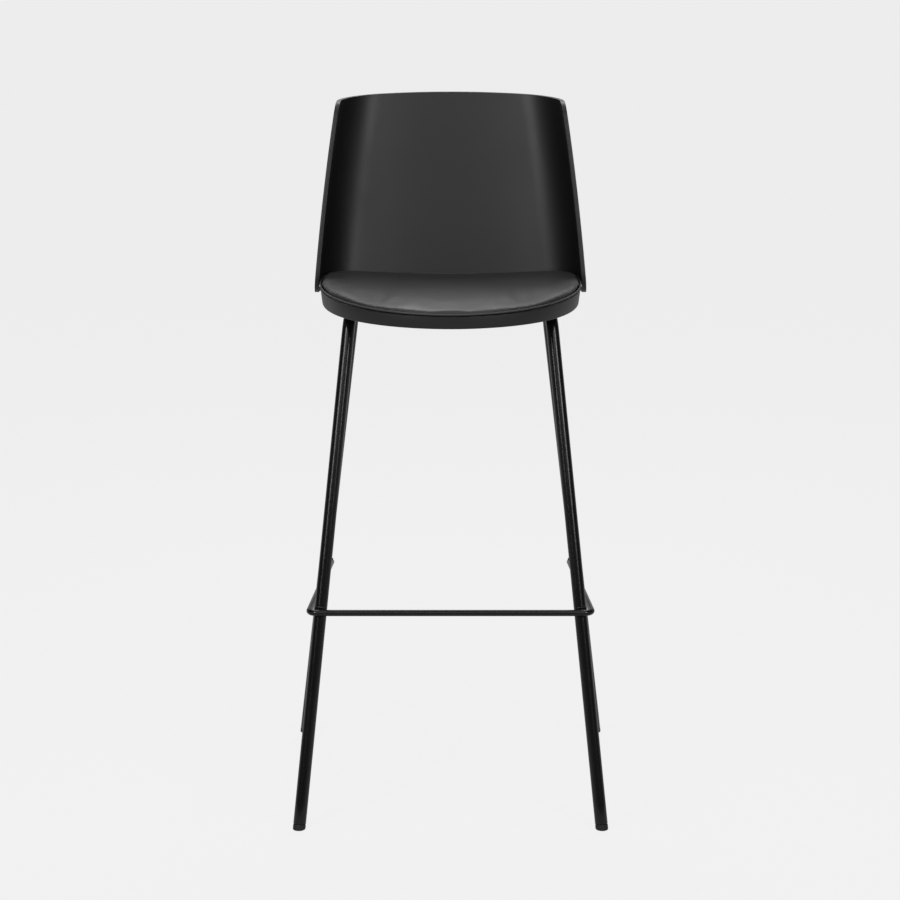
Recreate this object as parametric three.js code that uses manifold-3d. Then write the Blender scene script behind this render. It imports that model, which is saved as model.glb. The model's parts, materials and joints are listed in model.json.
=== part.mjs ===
// Bar stool: a wrap-round back shell and a padded seat on a bent steel tube frame with a footrest.
// Millimetres, +Z up, the front of the seat towards -Y, the origin on the floor under the middle.

import * as THREE from 'three';
import { mergeVertices } from 'three/addons/utils/BufferGeometryUtils.js';
import Module from 'manifold-3d';

// ---------------------------------------------------------------- driving dimensions

const SEAT_HALF = 201.8; // half the width at the seat, to the middle of the shell's wall

const FRONT_FOOT = { x: 226.3, y: -230.5 }; // leg axis at the floor
const REAR_FOOT = { x: 237.9, y: 230.5 };
const FRONT_TOP = { x: SEAT_HALF - 50.4, y: -29.9 }; // leg axis at the height of the hoop's top run
const REAR_TOP = { x: SEAT_HALF - 54, y: 29.9 };
const HOOP_TOP_Z = 745;
const HOOP_BEND_R = 37;
const LEG_TUBE_R = 9.5;
const LEG_WALL = 1.5;

const GLIDE_HEIGHT = 8;
const GLIDE_STEM = 22;
const GLIDE_CHAMFER = 1.5;
const GLIDE_FIT = 0.4; // stem to the tube's bore

const PLATE = { width: 2 * (SEAT_HALF - 41.8), depth: 150, thick: 4, corner: 18 };
const PLATE_SCREW = { x: SEAT_HALF - 89.8, y: 58 };

const BAR_R = 4.75;
const BAR_Z = 315.5; // the footrest's axis
const BAR_BEND_R = 13;
const BAR_SIDE_GAP = 1.8; // bead between the side rod and the front leg

const FIT = 0.3; // general gap between touching pieces
const HOLE_FIT = 0.3;
const CUT_PAST = 40; // how far cutting blocks reach past what they cut

// the seat stands on the frame: its heights are measured from the underside of the pan's floor
const PAN_BOSS = { r: 8, height: 2.9 };
const PLATE_TOP_Z = HOOP_TOP_Z + LEG_TUBE_R + FIT + PLATE.thick;
const BOSS_BOTTOM_Z = PLATE_TOP_Z + FIT;
const PAN_Z = BOSS_BOTTOM_Z + PAN_BOSS.height;

const SHELL_T = 6.5;
const SHELL_TOP_Z = PAN_Z + 292.5;
const SHELL_TOP_ARCH_R = 3000; // the top edge's arch across the width
const SHELL_SEAT = { z: PAN_Z + 18, backY: 153, halfWidth: SEAT_HALF, flare: 1.5 }; // section at the seat
const SHELL_HEAD = { z: SHELL_TOP_Z - 0.5, backY: 210, halfWidth: SEAT_HALF - 33.8, flare: 3 }; // top
const SHELL_BOW = 2; // outward bow of the wings at mid-height
const SHELL_BACK_R = 550; // plan radius of the back
const SHELL_CORNER_R = 78; // plan radius between the back and a wing
const SHELL_EDGE_LOW = { y: 30, z: PAN_Z + 3 }; // where a wing's front edge and lower edge meet
const SHELL_EDGE_HIGH = { y: 98, z: SHELL_TOP_Z }; // where a wing's front edge and the top edge meet
const SHELL_LOW_R = 26;
const SHELL_HIGH_R = 27;
const SHELL_REAR_LOW_Z = PAN_Z - 5; // lower edge behind the back
const SHELL_LEAN = (SHELL_HEAD.backY - SHELL_SEAT.backY) / (SHELL_HEAD.z - SHELL_SEAT.z);

const RIM_Z = PAN_Z + 25; // height at which the seat's plan outline is drawn
const RIM_FRONT_Y = -222.7;
const RIM_SIDE_Y = 30; // where the outline leaves the shell
const RIM_FRONT_PULL = 73; // handles of the front curve
const RIM_SIDE_PULL = 204;
const SEAT_DRAFT = 0.127; // inward lean of the seat's sides, per millimetre of height
const SHELL_FIT = 0.6; // pan to shell
const DISH_Z = PAN_Z + 12.6; // rim height at the middle
const DISH_RISE = 0.0002; // rim rise per square millimetre of half-width

const PAN_INSET = 1.8; // pan's face inside the seat's outline
const PAN_WALL = 3.2;
const PAN_SKIRT_Z = PAN_Z - 5.7; // lower edge at the middle
const PAN_SKIRT_RISE = 0.00003;
const PAN_FLOOR = 4;

const PAD_EDGE_INSET = 1.3; // pad's widest line, inside the seat's outline
const PAD_RIM_GAP = 1.8;
const PAD_PLUG_INSET = 9.2; // pad's lower part inside the tray
const PAD_EDGE = 2.4; // upright part of the pad's edge
const PAD_ROLL = 28; // width of the pad's rounded edge
const PAD_TOP = { z: PAN_Z + 22.8, rise: 0.00038, tilt: 0.018 }; // top at the middle, dish, backward fall
const COVER_T = 1.4;
const BOARD_BOTTOM_Z = PAN_Z + PAN_FLOOR + FIT;
const BOARD_T = 5;

// hardware: radii and lengths
const BUTTON = { socketR: 0.45, socketDepth: 0.55, faceR: 0.62, shoulderR: 0.9, shoulder: 0.62 };
const THREAD_CHAMFER = 0.8;
const PLATE_BOLT = { shankR: 3, headR: 5.25, headH: 3.3, length: 11 };
const PLATE_WASHER = { r: 6.3, t: 1.2 };
const PAN_INSERT = { r: 4.3, length: 6 };
const PAD_BOLT = { shankR: 2.5, headR: 4.75, headH: 2.7, length: 9.2 };
const PAD_BOLT_PLACES = [[SEAT_HALF - 84, -104], [SEAT_HALF - 98, 92]];
const TNUT = { barrelR: 3.4, flangeR: 8, flangeT: 1.2 };
const TNUT_ROOM = 1.5; // over the flange, for the screw's end
const SHELL_BOLT = { shankR: 2, headR: 3.8, headH: 2.2 };
const SHELL_INSERT = { r: 3.3, length: 4.4 };
const SHELL_WING_BOLT = { y: 46, z: PAN_Z + 14 };
const SHELL_BACK_BOLT = { x: [40, SEAT_HALF - 89.8], z: PAN_Z + 8.5 };

// ---------------------------------------------------------------- colours

function finish(name, color, roughness, metalness = 0) {
  return new THREE.MeshStandardMaterial({ name, color, roughness, metalness });
}

const MATERIALS = {
  shell: finish('shell_plastic', 0x1c1c1d, 0.5),
  pan: finish('pan_plastic', 0x1c1c1d, 0.5),
  cover: finish('cover', 0x1f1f20, 0.55),
  foam: finish('foam', 0xd8cfae, 0.95),
  board: finish('board', 0xb08a5a, 0.8),
  frame: finish('frame_steel', 0x161617, 0.45, 0.2),
  glide: finish('glide', 0x111111, 0.6),
  zinc: finish('zinc_steel', 0xa9adb0, 0.35, 1),
  brass: finish('brass', 0xb99a52, 0.35, 1),
};

// ---------------------------------------------------------------- solids and booleans

const wasm = await Module();
wasm.setup();

function toSolid(geometry) {
  const bare = geometry.clone();
  bare.deleteAttribute('normal');
  bare.deleteAttribute('uv');
  const merged = mergeVertices(bare, 1e-4);
  return new wasm.Manifold(new wasm.Mesh({
    numProp: 3,
    vertProperties: new Float32Array(merged.attributes.position.array),
    triVerts: new Uint32Array(merged.index.array),
  }));
}

function toGeometry(solid) {
  const mesh = solid.getMesh();
  const geometry = new THREE.BufferGeometry();
  geometry.setAttribute('position', new THREE.BufferAttribute(new Float32Array(mesh.vertProperties), 3));
  geometry.setIndex(new THREE.BufferAttribute(new Uint32Array(mesh.triVerts), 1));
  geometry.computeVertexNormals();
  return geometry;
}

const cut = (solid, ...tools) => tools.reduce((body, tool) => body.subtract(toSolid(tool)), solid);
const join = (solid, ...tools) => tools.reduce((body, tool) => body.add(toSolid(tool)), solid);
const keep = (solid, ...tools) => tools.reduce((body, tool) => body.intersect(toSolid(tool)), solid);

// Skins a stack of closed rings, each an array of Vector3 with the same count, and closes both ends.
function loft(rings) {
  const count = rings[0].length;
  const positions = rings.flat().flatMap((p) => [p.x, p.y, p.z]);
  const index = [];
  for (let level = 0; level < rings.length - 1; level++) {
    for (let i = 0; i < count; i++) {
      const a = level * count + i;
      const b = level * count + (i + 1) % count;
      index.push(a, b, b + count, a, b + count, a + count);
    }
  }
  const last = (rings.length - 1) * count;
  const flat = (ring) => ring.map((p) => new THREE.Vector2(p.x, p.y));
  for (const [a, b, c] of THREE.ShapeUtils.triangulateShape(flat(rings[0]), [])) {
    index.push(c, b, a);
  }
  for (const [a, b, c] of THREE.ShapeUtils.triangulateShape(flat(rings[rings.length - 1]), [])) {
    index.push(last + a, last + b, last + c);
  }
  const geometry = new THREE.BufferGeometry();
  geometry.setAttribute('position', new THREE.Float32BufferAttribute(positions, 3));
  geometry.setIndex(index);
  return geometry;
}

// A shape through corners [x, y, radius], each rounded by a true arc.
function roundedShape(corners) {
  const shape = new THREE.Shape();
  corners.forEach(([x, y, radius], i) => {
    const corner = new THREE.Vector2(x, y);
    const previous = new THREE.Vector2(...corners.at(i - 1));
    const next = new THREE.Vector2(...corners[(i + 1) % corners.length]);
    const back = previous.sub(corner).normalize();
    const ahead = next.sub(corner).normalize();
    if (radius > 0) {
      const half = Math.acos(back.dot(ahead)) / 2;
      const start = corner.clone().addScaledVector(back, radius / Math.tan(half));
      const middle = back.clone().add(ahead).normalize();
      const centre = corner.clone().addScaledVector(middle, radius / Math.sin(half));
      const end = corner.clone().addScaledVector(ahead, radius / Math.tan(half));
      const from = Math.atan2(start.y - centre.y, start.x - centre.x);
      const to = Math.atan2(end.y - centre.y, end.x - centre.x);
      shape[i === 0 ? 'moveTo' : 'lineTo'](start.x, start.y);
      shape.absarc(centre.x, centre.y, radius, from, to, back.cross(ahead) > 0);
    } else {
      shape[i === 0 ? 'moveTo' : 'lineTo'](x, y);
    }
  });
  return shape;
}

// Extrudes a shape drawn in (Y, Z) along X, centred.
function prismAlongX(shape, width, curveSegments = 8) {
  const geometry = new THREE.ExtrudeGeometry(shape, { depth: width, bevelEnabled: false, curveSegments });
  geometry.translate(0, 0, -width / 2);
  const xyzToYzx = new THREE.Matrix4().set(0, 0, 1, 0, 1, 0, 0, 0, 0, 1, 0, 0, 0, 0, 0, 1);
  return geometry.applyMatrix4(xyzToYzx);
}

// Extrudes a shape drawn in (X, Z) along Y, centred.
function prismAlongY(shape, length, curveSegments = 8) {
  const geometry = new THREE.ExtrudeGeometry(shape, { depth: length, bevelEnabled: false, curveSegments });
  geometry.translate(0, 0, -length / 2);
  geometry.rotateX(Math.PI / 2);
  return geometry;
}

const UP = new THREE.Vector3(0, 0, 1);

function cylinderAt(centre, axis, radius, length, segments = 12) {
  const geometry = new THREE.CylinderGeometry(radius, radius, length, segments);
  geometry.applyQuaternion(new THREE.Quaternion().setFromUnitVectors(new THREE.Vector3(0, 1, 0), axis));
  return geometry.translate(centre.x, centre.y, centre.z);
}

// A turned piece about +Z from [radius, height] points that close on the axis or on themselves.
function turned(points, segments = 12) {
  const outline = points.map(([r, z]) => new THREE.Vector2(r, z));
  return new THREE.LatheGeometry(outline, segments).rotateX(Math.PI / 2);
}

// ---------------------------------------------------------------- frame paths

// A centre line of straight runs joined by tangent arcs, stepped once per straight and evenly in bends.
class BentPath extends THREE.Curve {
  constructor(corners, bendRadius, bendSteps) {
    super();
    this.pieces = [];
    let from = corners[0];
    for (let i = 1; i < corners.length - 1; i++) {
      const back = corners[i - 1].clone().sub(corners[i]).normalize();
      const ahead = corners[i + 1].clone().sub(corners[i]).normalize();
      const half = back.angleTo(ahead) / 2;
      const reach = bendRadius / Math.tan(half);
      const start = corners[i].clone().addScaledVector(back, reach);
      const end = corners[i].clone().addScaledVector(ahead, reach);
      const middle = back.clone().add(ahead).normalize();
      const centre = corners[i].clone().addScaledVector(middle, bendRadius / Math.sin(half));
      this.pieces.push({ steps: 1, line: [from, start] });
      this.pieces.push({ steps: bendSteps, bend: { centre, start, end, turn: Math.PI - 2 * half } });
      from = end;
    }
    this.pieces.push({ steps: 1, line: [from, corners[corners.length - 1]] });
    this.steps = this.pieces.reduce((sum, piece) => sum + piece.steps, 0);
  }

  getPoint(t) {
    let station = t * this.steps;
    let k = 0;
    while (k < this.pieces.length - 1 && station > this.pieces[k].steps) {
      station -= this.pieces[k].steps;
      k++;
    }
    const piece = this.pieces[k];
    const u = station / piece.steps;
    if (piece.line) return piece.line[0].clone().lerp(piece.line[1], u);
    const { centre, start, end, turn } = piece.bend;
    const a = start.clone().sub(centre);
    const b = end.clone().sub(centre);
    return a.multiplyScalar(Math.sin((1 - u) * turn) / Math.sin(turn))
      .add(b.multiplyScalar(Math.sin(u * turn) / Math.sin(turn)))
      .add(centre);
  }

  getUtoTmapping(u) {
    return u;
  }
}

// A round rod or tube along a path. A full circle is drawn with two sides per curve segment.
function sweep(path, radius, boreRadius = 0, sides = 16) {
  const section = new THREE.Shape().absarc(0, 0, radius, 0, 2 * Math.PI);
  if (boreRadius > 0) section.holes.push(new THREE.Path().absarc(0, 0, boreRadius, 0, 2 * Math.PI, true));
  const curveSegments = sides / 2;
  return new THREE.ExtrudeGeometry(section, { steps: path.steps, extrudePath: path, curveSegments });
}

// The axis of a leg at height z; side is -1 for left and +1 for right.
function legPoint(foot, top, z, side) {
  const t = z / HOOP_TOP_Z;
  return new THREE.Vector3(side * (foot.x + (top.x - foot.x) * t), foot.y + (top.y - foot.y) * t, z);
}

function legDirection(foot, top, side) {
  return legPoint(foot, top, HOOP_TOP_Z, side).sub(legPoint(foot, top, 0, side)).normalize();
}

// ---------------------------------------------------------------- shell and seat outlines

// The shell's plan at height z: half of its middle line as points with outward normals, centre to wing.
function shellSection(z) {
  const t = (z - SHELL_SEAT.z) / (SHELL_HEAD.z - SHELL_SEAT.z);
  const mix = (key) => SHELL_SEAT[key] + (SHELL_HEAD[key] - SHELL_SEAT[key]) * t;
  const flare = THREE.MathUtils.degToRad(mix('flare'));
  const arcCentre = new THREE.Vector2(0, mix('backY') - SHELL_BACK_R);
  const cornerX = mix('halfWidth') + 4 * SHELL_BOW * t * (1 - t);
  const corner = new THREE.Vector2(cornerX, arcCentre.y + Math.sqrt(SHELL_BACK_R ** 2 - cornerX ** 2));
  const along = new THREE.Vector2(Math.sin(flare), -Math.cos(flare));
  const outward = new THREE.Vector2(Math.cos(flare), Math.sin(flare));
  // the fillet's centre lies on a line beside the wing, at a known distance from the arc's centre
  const beside = corner.clone().addScaledVector(outward, -SHELL_CORNER_R).sub(arcCentre);
  const b = beside.dot(along);
  const c = beside.lengthSq() - (SHELL_BACK_R - SHELL_CORNER_R) ** 2;
  const reach = -b - Math.sqrt(b * b - c);
  const far = -b + Math.sqrt(b * b - c);
  const slide = Math.abs(reach) < Math.abs(far) ? reach : far;
  const filletCentre = beside.clone().addScaledVector(along, slide).add(arcCentre);
  const seam = filletCentre.clone().sub(arcCentre).normalize();
  return { arcCentre, filletCentre, seam, along, outward };
}

function shellHalf(z, frontY, arcSteps = 4, filletSteps = 6, wingSteps = 1) {
  const { arcCentre, filletCentre, seam, along, outward } = shellSection(z);
  const line = [];
  const seamAngle = Math.atan2(seam.x, seam.y);
  for (let i = 0; i < arcSteps; i++) {
    const angle = seamAngle * i / arcSteps;
    const normal = new THREE.Vector2(Math.sin(angle), Math.cos(angle));
    line.push({ point: arcCentre.clone().addScaledVector(normal, SHELL_BACK_R), normal });
  }
  const from = Math.atan2(seam.y, seam.x);
  const to = Math.atan2(outward.y, outward.x);
  for (let i = 0; i < filletSteps; i++) {
    const angle = from + (to - from) * i / filletSteps;
    const normal = new THREE.Vector2(Math.cos(angle), Math.sin(angle));
    line.push({ point: filletCentre.clone().addScaledVector(normal, SHELL_CORNER_R), normal });
  }
  const start = filletCentre.clone().addScaledVector(outward, SHELL_CORNER_R);
  const end = start.clone().addScaledVector(along, (frontY - start.y) / along.y);
  for (let i = 0; i <= wingSteps; i++) {
    line.push({ point: start.clone().lerp(end, i / wingSteps), normal: outward });
  }
  return line;
}

// Both halves of a half line, from the left end through the centre to the right end.
function mirrored(half) {
  const left = half.slice(1).reverse().map(({ point, normal }) => ({
    point: new THREE.Vector2(-point.x, point.y),
    normal: new THREE.Vector2(-normal.x, normal.y),
  }));
  return [...left, ...half];
}

const offset = ({ point, normal }, distance) => point.clone().addScaledVector(normal, distance);
const rimHeight = (x) => DISH_Z + DISH_RISE * x * x;
const padTop = (x, y) => PAD_TOP.z + PAD_TOP.rise * x * x - PAD_TOP.tilt * y;

// The seat's plan outline at RIM_Z: along the shell's inside, then round the front in one curve.
function seatOutline(frontSteps = 12) {
  const inside = shellHalf(RIM_Z, RIM_SIDE_Y).map((sample) => ({
    point: offset(sample, -SHELL_T / 2 - SHELL_FIT),
    normal: sample.normal,
  }));
  const wing = inside.at(-1);
  const { along } = shellSection(RIM_Z);
  const curve = new THREE.CubicBezierCurve(
    wing.point,
    wing.point.clone().addScaledVector(along, RIM_SIDE_PULL),
    new THREE.Vector2(RIM_FRONT_PULL, RIM_FRONT_Y),
    new THREE.Vector2(0, RIM_FRONT_Y),
  );
  const front = [];
  for (let i = 1; i <= frontSteps; i++) {
    const tangent = curve.getTangent(i / frontSteps);
    front.push({ point: curve.getPoint(i / frontSteps), normal: new THREE.Vector2(-tangent.y, tangent.x) });
  }
  const half = [...inside, ...front];
  half.at(-1).normal.set(0, -1);
  const left = half.slice(1, -1).reverse().map(({ point, normal }) => ({
    point: new THREE.Vector2(-point.x, point.y),
    normal: new THREE.Vector2(-normal.x, normal.y),
  }));
  return [...half, ...left].reverse();
}

const OUTLINE = seatOutline();

// The inward lean of the seat's side where it faces along normal: the back follows the shell.
const draftOf = (normal) => Math.max(SEAT_DRAFT, SHELL_LEAN * normal.y);

// A ring at a fixed height, inset from the drafted side.
function levelRing(z, inset) {
  return OUTLINE.map((sample) => {
    const p = offset(sample, -(draftOf(sample.normal) * (RIM_Z - z) + inset));
    return new THREE.Vector3(p.x, p.y, z);
  });
}

// A ring that follows the dished rim, raised above it and inset from the drafted side.
function rimRing(rise, inset) {
  return OUTLINE.map((sample) => {
    const draft = draftOf(sample.normal);
    const near = offset(sample, -(draft * (RIM_Z - rimHeight(sample.point.x)) + inset));
    const height = rimHeight(near.x) + rise;
    const p = offset(sample, -(draft * (RIM_Z - height) + inset));
    return new THREE.Vector3(p.x, p.y, height);
  });
}

// A block under the surface z = base + rise * x * x - tilt * y.
function blockUnderDish(base, rise, tilt = 0) {
  const shape = new THREE.Shape();
  const reach = SHELL_SEAT.halfWidth + CUT_PAST;
  const steps = 20;
  shape.moveTo(-reach, PAN_Z - CUT_PAST);
  shape.lineTo(reach, PAN_Z - CUT_PAST);
  for (let i = 0; i <= steps; i++) {
    const x = reach - 2 * reach * i / steps;
    shape.lineTo(x, base + rise * x * x);
  }
  const block = prismAlongY(shape, 2 * (Math.max(-RIM_FRONT_Y, SHELL_SEAT.backY) + CUT_PAST));
  return block.applyMatrix4(new THREE.Matrix4().makeShear(0, 0, 0, -tilt, 0, 0));
}

// ---------------------------------------------------------------- places of the fasteners

const sides = [['left', -1], ['right', 1]];
const ends = [['front', -1], ['rear', 1]];

const platePlaces = sides.flatMap(([side, sx]) => ends.map(([end, sy]) => ({
  name: `${end}_${side}`,
  x: sx * PLATE_SCREW.x,
  y: sy * PLATE_SCREW.y,
})));

const padPlaces = sides.flatMap(([side, sx]) => ends.map(([end], i) => ({
  name: `${end}_${side}`,
  x: sx * PAD_BOLT_PLACES[i][0],
  y: PAD_BOLT_PLACES[i][1],
})));

// Where the shell bolts' axes cross the shell's inner face, and their directions outwards.
function shellFacePoints(wingZ, backZ) {
  const { filletCentre, along, outward } = shellSection(wingZ);
  const wingStart = filletCentre.clone().addScaledVector(outward, SHELL_CORNER_R - SHELL_T / 2);
  const wing = wingStart.clone().addScaledVector(along, (SHELL_WING_BOLT.y - wingStart.y) / along.y);
  const faceR = SHELL_BACK_R - SHELL_T / 2;
  const points = [];
  for (const [side, sx] of sides) {
    const wingAxis = new THREE.Vector3(sx * outward.x, outward.y, 0);
    const wingFace = new THREE.Vector3(sx * wing.x, wing.y, wingZ);
    points.push({ name: `wing_${side}`, face: wingFace, axis: wingAxis });
    SHELL_BACK_BOLT.x.forEach((x, i) => {
      const tilt = Math.asin(x / faceR);
      const axis = new THREE.Vector3(sx * Math.sin(tilt), Math.cos(tilt), 0);
      const arcCentre = new THREE.Vector3(0, shellSection(backZ).arcCentre.y, backZ);
      points.push({ name: `back_${side}_${i + 1}`, face: arcCentre.addScaledVector(axis, faceR), axis });
    });
  }
  return points;
}

// Each shell bolt's place on the shell's inner face, and how far inside it the bolt's head seats.
function shellBoltPlaces() {
  const rim = shellFacePoints(RIM_Z, RIM_Z);
  return shellFacePoints(SHELL_WING_BOLT.z, SHELL_BACK_BOLT.z).map(({ name, face, axis }, i) => {
    const draft = draftOf(axis);
    const gap = face.clone().sub(rim[i].face).dot(axis) + SHELL_FIT + draft * (RIM_Z - face.z);
    const wall = PAN_INSET + PAN_WALL + draft * SHELL_BOLT.headR;
    return { name, face, axis, headIn: gap + wall + FIT };
  });
}

// ---------------------------------------------------------------- pieces

const group = new THREE.Group();
group.name = 'bar_stool';

function place(name, geometry, material, parent = group) {
  const mesh = new THREE.Mesh(geometry, material);
  mesh.name = name;
  parent.add(mesh);
  return mesh;
}

function placeAlong(name, geometry, material, origin, axis) {
  const mesh = place(name, geometry, material);
  mesh.position.copy(origin);
  mesh.quaternion.setFromUnitVectors(new THREE.Vector3(0, 0, 1), axis);
  return mesh;
}

function backShell(boltPlaces) {
  const rings = [];
  const lowest = SHELL_REAR_LOW_Z - CUT_PAST;
  const highest = SHELL_TOP_Z + CUT_PAST;
  const levels = 6;
  for (let k = 0; k <= levels; k++) {
    const z = lowest + (highest - lowest) * k / levels;
    const line = mirrored(shellHalf(z, SHELL_EDGE_LOW.y - CUT_PAST));
    const outer = line.map((sample) => offset(sample, SHELL_T / 2));
    const inner = line.map((sample) => offset(sample, -SHELL_T / 2)).reverse();
    rings.push([...outer, ...inner].reverse().map((p) => new THREE.Vector3(p.x, p.y, z)));
  }
  const behind = SHELL_HEAD.backY + CUT_PAST;
  const beside = SHELL_SEAT.halfWidth + CUT_PAST;
  const sideProfile = roundedShape([
    [SHELL_EDGE_LOW.y, SHELL_EDGE_LOW.z, SHELL_LOW_R],
    [behind, SHELL_REAR_LOW_Z, 0],
    [behind, SHELL_TOP_Z, 0],
    [SHELL_EDGE_HIGH.y, SHELL_EDGE_HIGH.z, SHELL_HIGH_R],
  ]);
  const arch = new THREE.Shape();
  const archHalfAngle = Math.asin(beside / SHELL_TOP_ARCH_R);
  arch.absarc(0, SHELL_TOP_Z - SHELL_TOP_ARCH_R, SHELL_TOP_ARCH_R,
    Math.PI / 2 - archHalfAngle, Math.PI / 2 + archHalfAngle);
  arch.lineTo(-beside, lowest);
  arch.lineTo(beside, lowest);
  const trims = [prismAlongX(sideProfile, 2 * beside), prismAlongY(arch, 2 * behind, 14)];
  let solid = keep(toSolid(loft(rings)), ...trims);
  const pocket = SHELL_INSERT.length + 2 * FIT;
  for (const { face, axis } of boltPlaces) {
    const bottom = face.clone().addScaledVector(axis, pocket);
    const centre = bottom.addScaledVector(axis, -(pocket + SHELL_T) / 2);
    solid = cut(solid, cylinderAt(centre, axis, SHELL_INSERT.r + HOLE_FIT, pocket + SHELL_T));
  }
  place('back_shell', toGeometry(solid), MATERIALS.shell);
}

function seatPan(boltPlaces) {
  const below = PAN_Z - CUT_PAST;
  const above = PAN_Z + CUT_PAST;
  const inner = PAN_INSET + PAN_WALL;
  let solid = toSolid(loft([levelRing(below, PAN_INSET), levelRing(above, PAN_INSET)]));
  solid = keep(solid, blockUnderDish(DISH_Z, DISH_RISE));
  solid = cut(
    solid,
    loft([levelRing(PAN_Z + PAN_FLOOR, inner), levelRing(above, inner)]),
    loft([levelRing(below, inner), levelRing(PAN_Z, inner)]),
    blockUnderDish(PAN_SKIRT_Z, PAN_SKIRT_RISE),
  );
  const bossHeight = PAN_BOSS.height + PAN_FLOOR / 2;
  const through = 2 * (PAN_BOSS.height + PAN_FLOOR + FIT);
  for (const { x, y } of platePlaces) {
    const boss = cylinderAt({ x, y, z: BOSS_BOTTOM_Z + bossHeight / 2 }, UP, PAN_BOSS.r, bossHeight);
    const hole = cylinderAt({ x, y, z: PAN_Z }, UP, PAN_INSERT.r + HOLE_FIT, through);
    solid = cut(join(solid, boss), hole);
  }
  for (const { x, y } of padPlaces) {
    solid = cut(solid, cylinderAt({ x, y, z: PAN_Z }, UP, PAD_BOLT.shankR + HOLE_FIT, through));
  }
  for (const { face, axis, headIn } of boltPlaces) {
    const reach = 2 * (headIn + SHELL_BOLT.headR);
    solid = cut(solid, cylinderAt(face, axis, SHELL_BOLT.shankR + HOLE_FIT, reach));
  }
  place('seat_pan', toGeometry(solid), MATERIALS.pan);
}

// One ring of the pad's rounded edge: the angle runs from 0 at its foot to a right angle on top.
function padRing(angle, skin, lift = 0) {
  const inset = PAD_EDGE_INSET + skin + PAD_ROLL * (1 - Math.cos(angle));
  return OUTLINE.map((sample) => {
    const side = draftOf(sample.normal) * (RIM_Z - rimHeight(sample.point.x));
    const p = offset(sample, -(side + inset));
    const foot = rimHeight(p.x) + PAD_RIM_GAP + PAD_EDGE;
    const top = padTop(p.x, p.y) - skin;
    return new THREE.Vector3(p.x, p.y, foot + (top - foot) * Math.sin(angle) + lift);
  });
}

// The pad's rounded body, shrunk by skin on every side; plugBottom is its lowest height.
function padBody(skin, plugBottom, rollSteps) {
  const rings = [
    levelRing(plugBottom, PAD_PLUG_INSET + skin),
    rimRing(PAD_RIM_GAP + skin, PAD_PLUG_INSET + skin),
    rimRing(PAD_RIM_GAP + skin, PAD_EDGE_INSET + skin),
  ];
  for (let k = 0; k <= rollSteps; k++) {
    rings.push(padRing(Math.PI / 2 * k / rollSteps, skin));
  }
  rings.push(padRing(Math.PI / 2, skin, CUT_PAST));
  const underTop = blockUnderDish(PAD_TOP.z - skin, PAD_TOP.rise, PAD_TOP.tilt);
  return keep(toSolid(loft(rings)), underTop);
}

function seatPad() {
  const cover = padBody(0, BOARD_BOTTOM_Z, 4).subtract(padBody(COVER_T, BOARD_BOTTOM_Z - COVER_T, 4));
  place('seat_cover', toGeometry(cover), MATERIALS.cover);

  const boardTop = BOARD_BOTTOM_Z + BOARD_T;
  const flangeTop = boardTop + FIT + TNUT.flangeT;
  let foam = padBody(COVER_T + 2 * FIT, boardTop + FIT, 4);
  const boardInset = PAD_PLUG_INSET + COVER_T + FIT;
  let board = toSolid(loft([levelRing(BOARD_BOTTOM_Z, boardInset), levelRing(boardTop, boardInset)]));
  for (const { x, y } of padPlaces) {
    const recess = flangeTop + TNUT_ROOM - boardTop;
    foam = cut(foam, cylinderAt({ x, y, z: boardTop }, UP, TNUT.flangeR + HOLE_FIT, 2 * recess));
    board = cut(board, cylinderAt({ x, y, z: boardTop }, UP, TNUT.barrelR + HOLE_FIT, 3 * BOARD_T));
  }
  place('seat_foam', toGeometry(foam), MATERIALS.foam);
  place('seat_board', toGeometry(board), MATERIALS.board);

  const { barrelR, flangeR } = TNUT;
  const bore = PAD_BOLT.shankR + HOLE_FIT;
  const foot = BOARD_BOTTOM_Z + FIT;
  for (const { name, x, y } of padPlaces) {
    const nut = turned([
      [bore, foot], [barrelR, foot], [barrelR, boardTop + FIT], [flangeR, boardTop + FIT],
      [flangeR, flangeTop], [bore, flangeTop], [bore, foot],
    ]);
    place(`pad_tnut_${name}`, nut, MATERIALS.zinc).position.set(x, y, 0);
    place(`pad_screw_${name}`, buttonScrew(PAD_BOLT), MATERIALS.zinc).position.set(x, y, PAN_Z - FIT);
  }
}

// A button-head screw that points up: the head's flat underside is at height 0.
function buttonScrew({ shankR, headR, headH, length }) {
  const socketR = headR * BUTTON.socketR;
  const socketTop = -headH * (1 - BUTTON.socketDepth);
  return turned([
    [0, socketTop], [socketR, socketTop], [socketR, -headH], [headR * BUTTON.faceR, -headH],
    [headR * BUTTON.shoulderR, -headH * BUTTON.shoulder], [headR, 0], [shankR, 0],
    [shankR, length - THREAD_CHAMFER], [shankR - THREAD_CHAMFER, length], [0, length],
  ], 10);
}

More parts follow.
